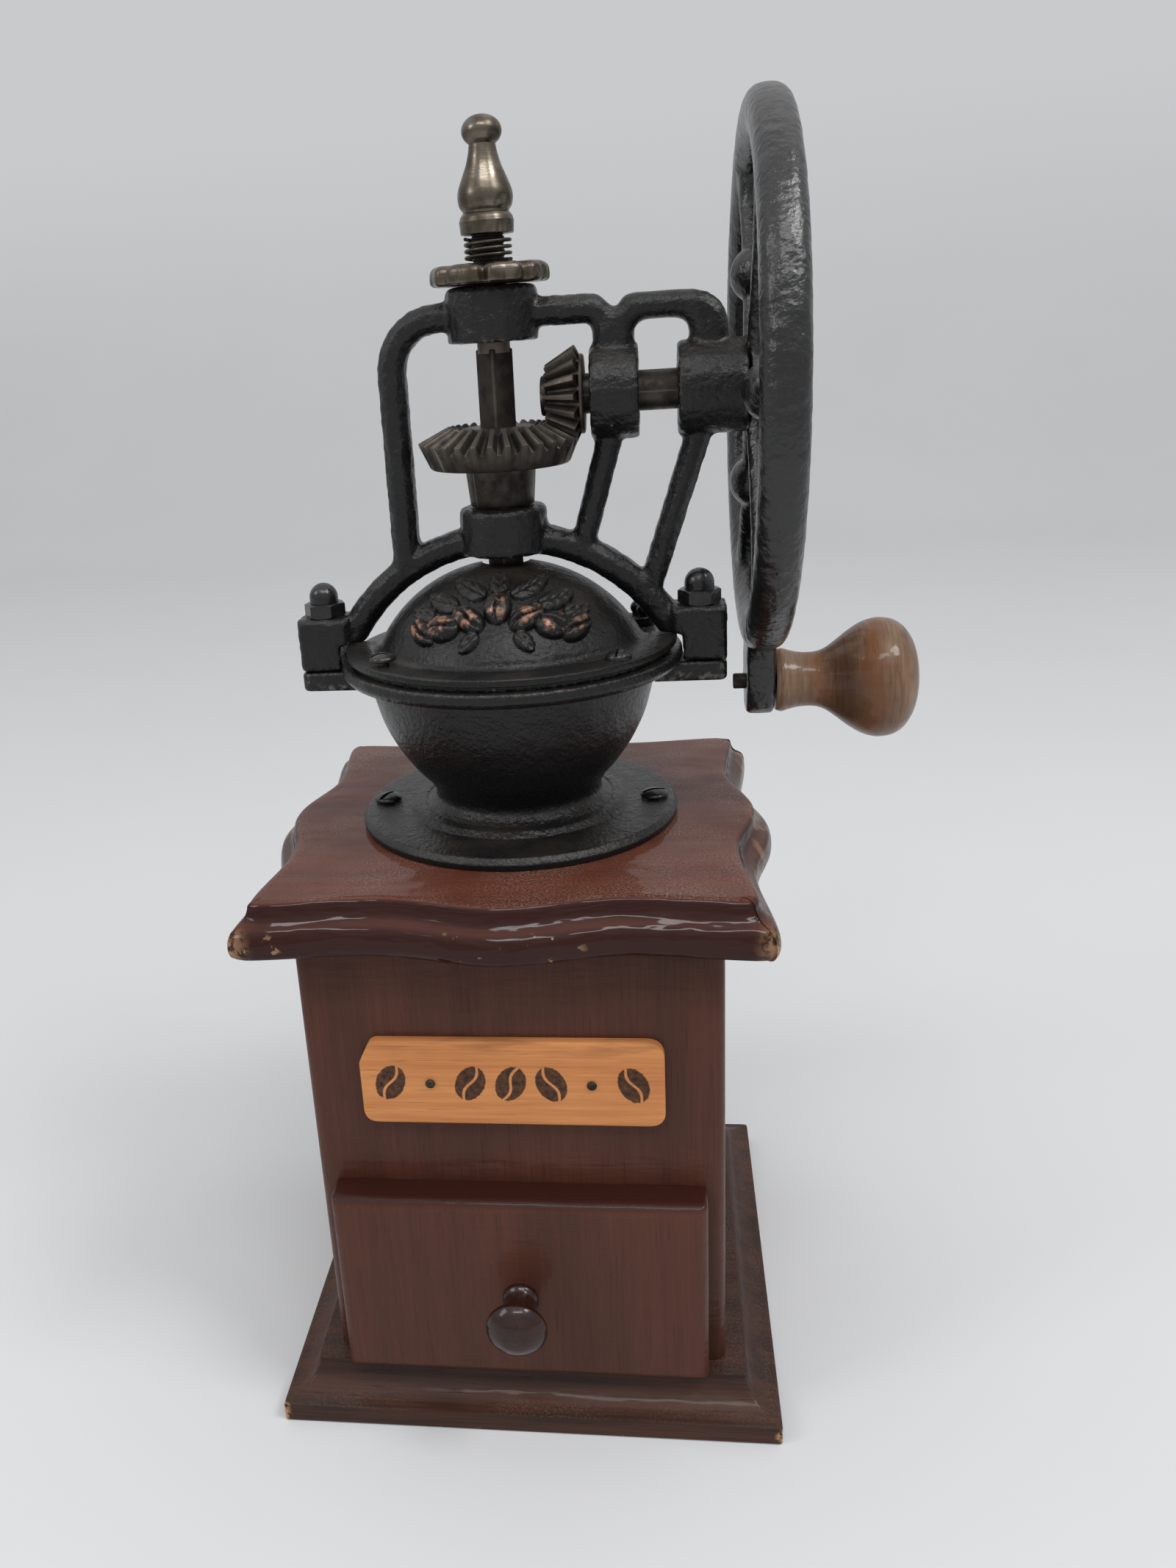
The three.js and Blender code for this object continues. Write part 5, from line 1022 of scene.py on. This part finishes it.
def toothed_ring(teeth, cone, distance, phase):
    """The outline of bevel teeth at one distance from the apex."""
    tip, root = cone + 0.75 * MODULE / CONE, cone - 1.05 * MODULE / CONE
    ring = []
    for tooth in range(teeth):
        for share, rise in TOOTH:
            angle = root + (tip - root) * rise
            turn = (tooth + share) / teeth * 2 * pi + phase
            r = distance * sin(angle)
            ring.append((r * cos(turn), r * sin(turn), distance * cos(angle)))
    return np.array(ring)


def flat_ring(like, radius, height):
    """A round ring with as many points, at the same bearings, as a toothed one."""
    turn = np.arctan2(like[:, 1], like[:, 0])
    return np.column_stack([radius * np.cos(turn), radius * np.sin(turn), np.full(len(like), height)])


def bevel_wheel(name, teeth, cone, phase, front, back):
    """Teeth between two cones, closed by plain rings (radius, distance from the apex) in front and behind."""
    rings = [toothed_ring(teeth, cone, d, phase) for d in (CONE - FACE, CONE - FACE + 0.25, CONE - 0.3, CONE)]
    # The first and last ring are drawn in a little, which takes the sharpness off the ends of the teeth
    rings[0] = rings[0] * (0.985, 0.985, 1.0)
    rings[-1] = rings[-1] * (0.99, 0.99, 1.0)
    front, back = ([flat_ring(rings[0], r, z) for r, z in plain] for plain in (front, back))
    return grid(name, front + rings + back, angle=38)


def on_shaft(obj):
    """Lays a piece that was turned about Z along the wheel's shaft."""
    return moved(along_x(obj), (0, 0, SHAFT_HEIGHT))


def bevel_gear():
    low = span("bevel_gear")[0].z
    seat, bore = low + 12.9, 4.2
    cone = atan2(GEAR_PITCH, PINION_PITCH)
    back_z, seat_z, foot_z = SHAFT_HEIGHT - (seat + 10.2), SHAFT_HEIGHT - seat, SHAFT_HEIGHT - low
    eye = (CONE - FACE) * cos(cone)
    front = [(bore, eye), (9.2, eye), (9.8, eye + 0.4), (9.9, eye + 1.6)]
    back = [(18.6, back_z - 0.5), (18.1, back_z), (9.9, back_z), (9.3, back_z + 0.8), (8.5, seat_z - 0.4),
            (8.2, seat_z), (7, seat_z), (7, foot_z - 0.3), (6.7, foot_z), (bore, foot_z)]
    gear = bevel_wheel("bevel_gear_cut", GEAR_TEETH, cone, pi / GEAR_TEETH, front, back)
    piece(moved(gear, (0, 0, SHAFT_HEIGHT), about="X", angle=180), "bevel_gear")


def bevel_pinion():
    end, bore = span("bevel_pinion")[1].x, 5.1
    cone = QUARTER - atan2(GEAR_PITCH, PINION_PITCH)
    eye = (CONE - FACE) * cos(cone)
    front = [(bore, eye), (6.4, eye)]
    back = [(9.0, GEAR_PITCH + 0.3), (9.7, GEAR_PITCH + 0.55), (9.9, GEAR_PITCH + 0.8), (9.9, end - 0.3),
            (9.6, end), (bore, end)]
    piece(on_shaft(bevel_wheel("bevel_pinion_cut", PINION_TEETH, cone, 0, front, back)), "bevel_pinion")


# Hand wheel, its shaft and the crank grip
# Radius of the wheel, width and depth of its rim, and radius of its hub
WHEEL_OUT, RIM_WIDE, RIM_DEEP, HUB = 67.2, 10.8, 11.8, 11.0
# Distance of the crank pin from the shaft and radius of the lug round it; radius and distance of the beads
CRANK, LUG, BEAD, BEAD_PLACE = 77.6, 9.0, 7.2, 30
# Radius of the shaft, of its threaded end and of the crank pin
SHAFT, SHAFT_END, PIN = 5, 4, 2.1
washer_low, washer_high = span("wheel_washer")
WHEEL_PLACE = washer_low.x - 5.2


def superellipse(half_across, half_up, power, count):
    """Points round an ellipse that is fuller than a plain one, as two arrays."""
    turns = np.arange(count) * 2 * pi / count
    across, up = (np.sign(v) * np.abs(v) ** (2 / power) for v in (np.cos(turns), np.sin(turns)))
    return half_across * across, half_up * up


def spoke(number):
    """A spoke along +X that is thin in the middle and spreads into hub and rim."""
    start, end, points = 6.0, WHEEL_OUT - RIM_DEEP + 5, 28
    rows = []
    for s in np.linspace(0, 1, 48):
        x = start + (end - start) * s
        to_rim = np.clip((x - (WHEEL_OUT - RIM_DEEP - 9)) / 12, 0, 1)
        to_hub = np.clip((18 - x) / 9, 0, 1)
        half_wide = 2.5 + 8.5 * to_rim**2.4 + 1.6 * to_hub**2
        half_deep = 4.5 - 0.5 * np.sin(pi * s)
        across, up = superellipse(half_wide, half_deep, 2.3, points)
        rows.append(np.column_stack([np.full(points, x), across, up + WHEEL_PLACE]))
    bar = grid(f"spoke_{number}", rows)
    return moved(bar, about="Z", angle=(number + 0.5) * 60)


def bead(name, radius, place):
    return moved(turned(name, arc(0, 0, radius, -QUARTER, QUARTER, 24), 40), place)


def flywheel():
    across, out = superellipse(RIM_WIDE / 2, RIM_DEEP / 2, 2.5, 40)
    rim = turned("rim", np.column_stack([WHEEL_OUT - RIM_DEEP / 2 + out, WHEEL_PLACE + across]), 256)
    parts = [rim] + [spoke(i) for i in range(6)]
    for i in (0, 2, 4):
        angle = radians((i + 0.5) * 60)
        place = (BEAD_PLACE * cos(angle), BEAD_PLACE * sin(angle), WHEEL_PLACE)
        parts.append(bead(f"bead_{i}", BEAD, place))
    face, end = span("flywheel")[0].x + 3.4, washer_low.x
    parts.append(turned("hub", rounded([(0, face), (HUB, face, 1), (HUB, end, 1.5), (0, end)], 4), 96))
    root, waist, half = WHEEL_OUT - 6, WHEEL_OUT + 1.5, 3.8
    outline = [(root, -LUG * 1.5)] + curve([(root, -LUG * 1.5), (waist, -LUG * 1.05), (CRANK, -LUG)], 6)
    outline += [(CRANK + LUG * sin(a), -LUG * cos(a)) for a in np.linspace(0.1, pi - 0.1, 24)]
    outline += curve([(CRANK, LUG), (waist, LUG * 1.05), (root, LUG * 1.5)], 6)
    parts.append(extruded("lug", outline, WHEEL_PLACE - half, WHEEL_PLACE + half, edge=1.4))
    wheel = cast(fused("flywheel_casting", *parts), 0.62, 9, sand=0.25)
    near, far, boss = 40, 95, 12.7
    bore = tube("wheel_bore", 0, SHAFT + PLAY, near, far, 64)
    boss = tube("boss_room", 0, boss, near, face, 96)
    pin = moved(tube("pin_room", 0, PIN + PLAY, near, far, 32), (CRANK, 0, 0))
    piece(on_shaft(carve(wheel, bore, boss, pin, angle=50)), "flywheel")


def wheel_fittings():
    low, high = span("wheel_shaft")
    step = washer_low.x - 1
    profile = rounded([(0, low.x), (SHAFT, low.x, 0.7), (SHAFT, step, 0.3), (SHAFT_END, step),
                       (SHAFT_END, step + 3)], 3)
    profile += thread(SHAFT_END, step + 3, high.x - 0.4) + [(3.2, high.x), (0, high.x)]
    piece(on_shaft(turned("wheel_shaft_turned", profile, 64)), "wheel_shaft")
    low, high, bore, r = washer_low.x, washer_high.x, 4.1, 9
    profile = rounded([(bore, low), (r, low, 0.3), (r, high, 0.3), (bore, high)], 3)
    piece(on_shaft(turned("wheel_washer_ring", profile, 64)), "wheel_washer")
    low, high = span("wheel_nut")
    nut = hexagon("wheel_nut_hex", high.z - low.z, low.x, high.x, chamfer=0.9)
    piece(on_shaft(bored(nut, SHAFT_END + PLAY, low.x, high.x, 40, 20)), "wheel_nut")


def grip():
    low, high = span("handle_grip")
    crank = (low.z + high.z) / 2
    length, bulb, bore = high.x - low.x, high.y, 2.4
    shares = [(0.5, 0), (0.525, 0.02), (0.535, 0.05), (0.5, 0.1), (0.468, 0.16), (0.455, 0.23),
              (0.47, 0.3), (0.53, 0.365), (0.655, 0.44), (0.8, 0.52), (0.93, 0.61), (0.99, 0.69),
              (1.0, 0.75), (0.965, 0.83), (0.86, 0.9), (0.68, 0.955), (0.5, 0.985), (0.34, 1.0)]
    seat = high.x - 3.5
    profile = [(bore, low.x)] + [(r * bulb, low.x + s * length) for r, s in curve(shares, 6)]
    profile += [(4.5, high.x - 0.2), (4.5, seat), (bore, seat)]
    piece(moved(along_x(turned("handle_grip_turned", profile, 112, angle=50)), (0, 0, crank)), "handle_grip")
    low, high = span("handle_pin")
    head, under = high.y, seat + 0.3
    profile = rounded([(0, low.x), (PIN, low.x, 0.5), (PIN, under), (head, under, 0.3),
                       (head * 0.86, high.x, 0.7), (0, high.x)], 4)
    piece(moved(along_x(turned("handle_pin_turned", profile, 48)), (0, 0, crank)), "handle_pin")


base_board()
case_boards()
top_board()
plaque()
drawer_front()
drawer_knob()
for side, turn in (("left", 62), ("right", 20)):
    slotted_screw("hopper_screw_head_" + side, "hopper_screw_" + side, 0.36, 1.2, turn)
slotted_screw("dome_screw_head_left", "dome_screw_left", 0.4, 0.9, 30, wider=1.1, taller=1.0)
slotted_screw("dome_screw_head_right", "dome_screw_right", 0.62, 0.6, 80, wider=1.05)
acorn_nut("left")
acorn_nut("right")
hopper()
cover_ring()
front_dome()
rear_lid()
yoke()
spindle()
finial()
adjusting_nut()
spring()
burr_fixings()
bevel_gear()
bevel_pinion()
flywheel()
wheel_fittings()
grip()


# Stage, in metres: a pale floor that sweeps up into a backdrop, three soft lights, and a surround that is
# brighter overhead
PAPER = rgb(206, 207, 208)


def sweep():
    wide, front, back, bend, high = 4.0, -3.0, 2.2, 0.9, 2.4
    side = [(front, 0.0)] + arc(back - bend, bend, bend, -QUARTER, 0, 17) + [(back, high)]
    mesh = bpy.data.meshes.new("paper_sweep")
    verts = [(x, y, z) for y, z in side for x in (-wide, wide)]
    faces = [(2 * i, 2 * i + 1, 2 * i + 3, 2 * i + 2) for i in range(len(side) - 1)]
    mesh.from_pydata(verts, [], faces)
    mesh.shade_smooth()
    obj = linked("paper_sweep", mesh)
    f = Finish("paper")
    f.set("Base Color", f.mix(f.noise(0.004, 3), PAPER, rgb(200, 201, 203)))
    f.set("Roughness", 0.9)
    f.set("Specular IOR Level", 0.1)
    glow = f.node("Emission", {"Color": rgb(201, 202, 204)})
    rays = f.node("LightPath").outputs
    seen = f.math("MAXIMUM", rays["Is Camera Ray"], rays["Is Glossy Ray"])
    seen = f.math("MAXIMUM", seen, rays["Is Transmission Ray"])
    seen = f.times(seen, f.step(f.axes()[2], 60, 700))
    mix = f.node("MixShader", {0: seen, 1: f.shader.outputs[0], 2: glow.outputs[0]})
    f.put(f.tree.nodes["Material Output"].inputs["Surface"], mix.outputs[0])
    obj.data.materials.append(f.material)


sweep()


def area_light(name, place, target, size, power):
    data = bpy.data.lights.new(name, "AREA")
    data.shape = "RECTANGLE"
    data.size, data.size_y = size
    data.energy = power
    obj = linked(name, data)
    obj.location = place
    obj.rotation_euler = (Vector(target) - Vector(place)).to_track_quat("-Z", "Y").to_euler()


area_light("key_softbox", (0.75, -0.35, 1.25), (0, 0, 0.15), (0.4, 0.4), 6.5)
area_light("strip_softbox", (0.1, -0.75, 1.35), (0, 0, 0.15), (0.8, 0.2), 4.4)
area_light("side_softbox", (-0.9, -0.5, 0.9), (0, 0, 0.2), (0.3, 0.5), 2.4)

world = bpy.data.worlds.new("surround")
world.use_nodes = True
sky = world.node_tree
fade = sky.nodes.new("ShaderNodeValToRGB")
fade.color_ramp.elements[0].color = rgb(184, 185, 187)
fade.color_ramp.elements[1].color = (1.0, 1.0, 1.0, 1)
fade.color_ramp.elements[1].position = 0.9
height = sky.nodes.new("ShaderNodeSeparateXYZ")
sky.links.new(sky.nodes.new("ShaderNodeTexCoord").outputs["Generated"], height.inputs[0])
sky.links.new(height.outputs[2], fade.inputs[0])
sky.links.new(fade.outputs[0], sky.nodes["Background"].inputs["Color"])
bpy.context.scene.world = world
bpy.context.scene.view_settings.view_transform = "Standard"

# Camera, fitted to the photograph
IMAGE_WIDTH, IMAGE_HEIGHT = 1600, 2133
FOCAL_PIXELS = 1741.59
CENTRE_COLUMN, CENTRE_ROW = 657.0, 1060.0
CAMERA_PLACE = (39.78, -343.64, 293.33)
# Turned to the left, tilted down and turned about its own axis, in radians
YAW, PITCH, ROLL = 0.1449, 0.3422, -0.0677
SENSOR = 36


def camera():
    data = bpy.data.cameras.new("camera")
    data.sensor_width = SENSOR
    data.lens = FOCAL_PIXELS * SENSOR / IMAGE_HEIGHT
    data.shift_x = (IMAGE_WIDTH / 2 - CENTRE_COLUMN) / IMAGE_HEIGHT
    data.shift_y = (CENTRE_ROW - IMAGE_HEIGHT / 2) / IMAGE_HEIGHT
    data.clip_start = 0.01
    obj = linked("camera", data)
    level = Matrix.Rotation(YAW, 4, "Z") @ Matrix.Rotation(QUARTER - PITCH, 4, "X")
    obj.matrix_world = Matrix.Translation(Vector(CAMERA_PLACE) * MM) @ level @ Matrix.Rotation(ROLL, 4, "Z")
    bpy.context.scene.camera = obj


camera()
